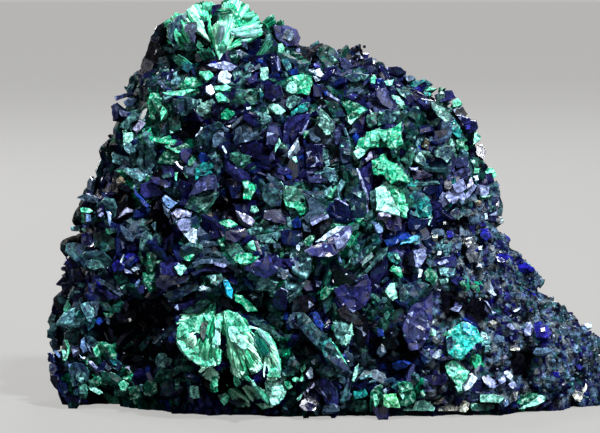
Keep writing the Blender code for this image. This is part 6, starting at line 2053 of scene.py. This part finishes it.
def tint_ground():
    """Colours each grain of the crust from its zone, paints shade into the creases between grains, and paints light
    on the flank.
    """
    rng = np.random.default_rng(SEED + 40)
    points = read_vectors(core_mesh.vertices, "co") / MM
    size = CELLS[1][0]
    grains = {}
    firsts = []
    owners = []
    crease_shades = []
    for i, place in enumerate(points):
        spread, middles = noise.voronoi(Vector(place) / size)
        key = tuple(round(v, 3) for v in middles[0])
        if key not in grains:
            grains[key] = len(grains)
            firsts.append(i)
        owners.append(grains[key])
        # painted shade: darker where the grains meet
        crease_shades.append(min(1.0, CREASE_SHADE_TONES[0] + (spread[1] - spread[0]) * CREASE_SHADE_TONES[1]))
    places, normals = points[firsts], core_normals[firsts]
    _, colours = picked_colours(places, normals, rng, *GROUND_TONES)
    # painted light: the flank's crust is brightened, but not in the hollows
    colours *= np.where(on_flank(places) & ~in_cave(places, normals), FLANK_LIGHT_GAIN, 1)[:, None]
    shades = colours[owners] * np.array(crease_shades)[:, None]
    shade = core_mesh.color_attributes.new("shade", "FLOAT_COLOR", "POINT")
    shade.data.foreach_set("color", np.column_stack((shades, np.ones(len(points)))).ravel())
    show("ground", core_mesh, "azurite", "azurite_cluster")


place_front()
tint_ground()
for generation in GENERATIONS:
    grow(*generation)
grow_druse()
hidden_rng = np.random.default_rng(SEED + 50)
for hidden_sheaves in HIDDEN_SHEAVES:
    grow_hidden_sheaves(hidden_rng, *hidden_sheaves)


# ------------------------------------------------------------------------------------------------ specks

# Tiny bright crystals scattered over the others, coloured as painted glints: tint and weight, on azurite and on
# malachite.
GLINT_SPECKS = {
    "azurite": (("lavender", 0.40), ("white", 0.20), ("pink", 0.16), ("sky", 0.12), ("aqua", 0.12)),
    "malachite": (("mint", 0.40), ("mintwhite", 0.40), ("white", 0.20)),
}
SPECK_TRIES = 2600
SPECK_LENGTH = (0.18, 0.42)       # mm, and how much it strays
SPECK_STRAY = (0.7, 1.3)
SPECK_SHAPE = ((0.5, 0.9), (0.3, 0.7))
SPECK_TURNS = (1.0, 1.2, (0.0, 1.2), 1.2)
SPECK_TONES = (0.4, 1.0)
SPECK_REACH = 120.0
SPECK_FOOT = 0.8                  # mm above the base
SPECK_SLOPE = 0.15                # how far a face may turn from the way that a speck comes
FROM_ABOVE = 0.8                  # specks come from above, this much less steeply than from all round
ON_SPRAY = 0.15                   # share of the specks that stay where they fall on a spray


def glint_speck_places(hosts, rng):
    """Places of specks, in mm, that reach the pieces from outside: on azurite and on malachite."""
    bm = bmesh.new()
    ends = []
    for host in hosts:
        bm.from_mesh(host.data)
        ends.append(len(bm.faces))
    tree = BVHTree.FromBMesh(bm)
    bm.free()
    found = {"azurite": [], "malachite": []}
    for _ in range(SPECK_TRIES):
        aim = rng.uniform(*(np.array(corner) for corner in CAD_BOX))
        away = rng.normal(size=3)
        away[2] = abs(away[2]) * FROM_ABOVE
        away /= np.linalg.norm(away)
        hit, normal, face, _ = tree.ray_cast(Vector(aim + away * SPECK_REACH * MM), Vector(-away))
        if hit is None or hit.z < SPECK_FOOT * MM or normal.dot(Vector(away)) < SPECK_SLOPE:
            continue
        host = hosts[int(np.searchsorted(ends, face, side="right"))].name
        if host.endswith("fibres") and rng.random() > ON_SPRAY:
            continue
        green = "malachite" in host or host.endswith("fibres")
        found["malachite" if green else "azurite"].append((hit / MM, normal))
    return found


def scatter_glint_specks(hosts):
    """Scatters tiny crystals over the outside of the pieces, from every side, coloured as painted glints."""
    rng = np.random.default_rng(SEED + 60)
    for slot, places in glint_speck_places(hosts, rng).items():
        pile = Pile(slot + "_glint_specks", MALACHITE if slot == "malachite" else ALTERED, slot)
        points = np.array([p[:] for p, _ in places])
        normals = np.array([n[:] for _, n in places])
        frames = growth_frames(points, normals, rng, *SPECK_TURNS)
        length = rng.uniform(*SPECK_LENGTH, len(points)) * rng.uniform(*SPECK_STRAY, len(points))
        sizes = random_sizes(length, *SPECK_SHAPE, rng)
        names, weights = zip(*GLINT_SPECKS[slot])
        picks = rng.choice(len(names), len(points), p=np.array(weights) / sum(weights))
        colours = np.array([TINTS[names[i]][1] for i in picks]) * rng.uniform(*SPECK_TONES, (len(points), 1))
        blades(pile, rng, points, frames, sizes, colours, *BLOCKY)
        pile.build()


# ------------------------------------------------------------------------------------------------ stage

FLOOR_SIZE = 3.0                  # metres
FLOOR_COLOUR = (0.06, 0.06, 0.059, 1.0)
FLOOR_GLOW = (0.50, 0.495, 0.485, 1.0)      # the pale floor that the camera sees
GLOW_STRENGTH = 0.92
BACKDROP = (0.51, 0.505, 0.495, 1.0)
FILL = ((0.82, 0.80, 0.82, 1.0), 0.125)     # colour and strength of the light from all round
LIGHTS_AIM = (0.0, -0.005, 0.025)
# Area lights: name, place and size in metres, power and colour.
LIGHTS = (
    ("key", KEY_PLACE, 0.07, 9.4, (0.95, 0.98, 1.0)),
    ("soft", (0.60, -0.50, 0.30), 0.50, 3.6, (0.90, 0.94, 1.0)),
    ("side", (-0.55, -0.55, 0.30), 0.40, 1.6, (0.92, 0.95, 1.0)),
    ("rim", (0.10, 0.55, 0.55), 0.25, 5.0, (0.96, 0.98, 1.0)),
    ("back", (-0.45, 0.40, 0.28), 0.20, 5.0, (1.0, 0.98, 0.96)),
)


def build_floor():
    """A floor that is pale to the camera and throws little light back on the specimen."""
    bm = bmesh.new()
    bmesh.ops.create_grid(bm, x_segments=1, y_segments=1, size=FLOOR_SIZE)
    mesh = bpy.data.meshes.new("floor")
    bm.to_mesh(mesh)
    bm.free()
    made, tree, surface_node = new_material("floor")
    for name, value in (("Base Color", FLOOR_COLOUR), ("Roughness", 0.9), ("Specular IOR Level", 0.0),
                        ("Emission Color", FLOOR_GLOW)):
        surface_node.inputs[name].default_value = value
    path = tree.nodes.new("ShaderNodeLightPath")
    tree.links.new(remap(tree, path.outputs["Is Camera Ray"], 0.0, 1.0, 0.0, GLOW_STRENGTH),
                   surface_node.inputs["Emission Strength"])
    mesh.materials.append(made)
    floor = bpy.data.objects.new("floor", mesh)
    bpy.context.scene.collection.objects.link(floor)


def build_world():
    """A world that is pale to the camera, and a dimmer fill light to the rest."""
    world = bpy.data.worlds.new("studio")
    world.use_nodes = True
    tree = world.node_tree
    fill = tree.nodes["Background"]
    fill.inputs["Color"].default_value, fill.inputs["Strength"].default_value = FILL
    pale = add_node(tree, "ShaderNodeBackground", Strength=1.0, Color=BACKDROP)
    path = tree.nodes.new("ShaderNodeLightPath")
    mix = tree.nodes.new("ShaderNodeMixShader")
    for source, socket in ((path.outputs["Is Camera Ray"], 0), (fill.outputs[0], 1), (pale.outputs[0], 2)):
        tree.links.new(source, mix.inputs[socket])
    tree.links.new(mix.outputs[0], tree.nodes["World Output"].inputs[0])
    bpy.context.scene.world = world
    bpy.context.scene.view_settings.view_transform = "Standard"


def add_area(name, place, size, power, colour):
    data = bpy.data.lights.new(name, "AREA")
    data.shape = "DISK"
    data.size = size
    data.energy = power
    data.color = colour
    light = bpy.data.objects.new(name, data)
    light.location = Vector(place)
    toward = Vector(LIGHTS_AIM) - light.location
    light.rotation_euler = toward.to_track_quat("-Z", "Y").to_euler()
    bpy.context.scene.collection.objects.link(light)


build_floor()
build_world()
for lamp in LIGHTS:
    add_area(*lamp)

pieces = [pile.build() for pile in piles.values()]
pieces += [pile.build("malachite_spray_" + name) for name, pile in spray_piles.items()]
scatter_glint_specks(pieces)
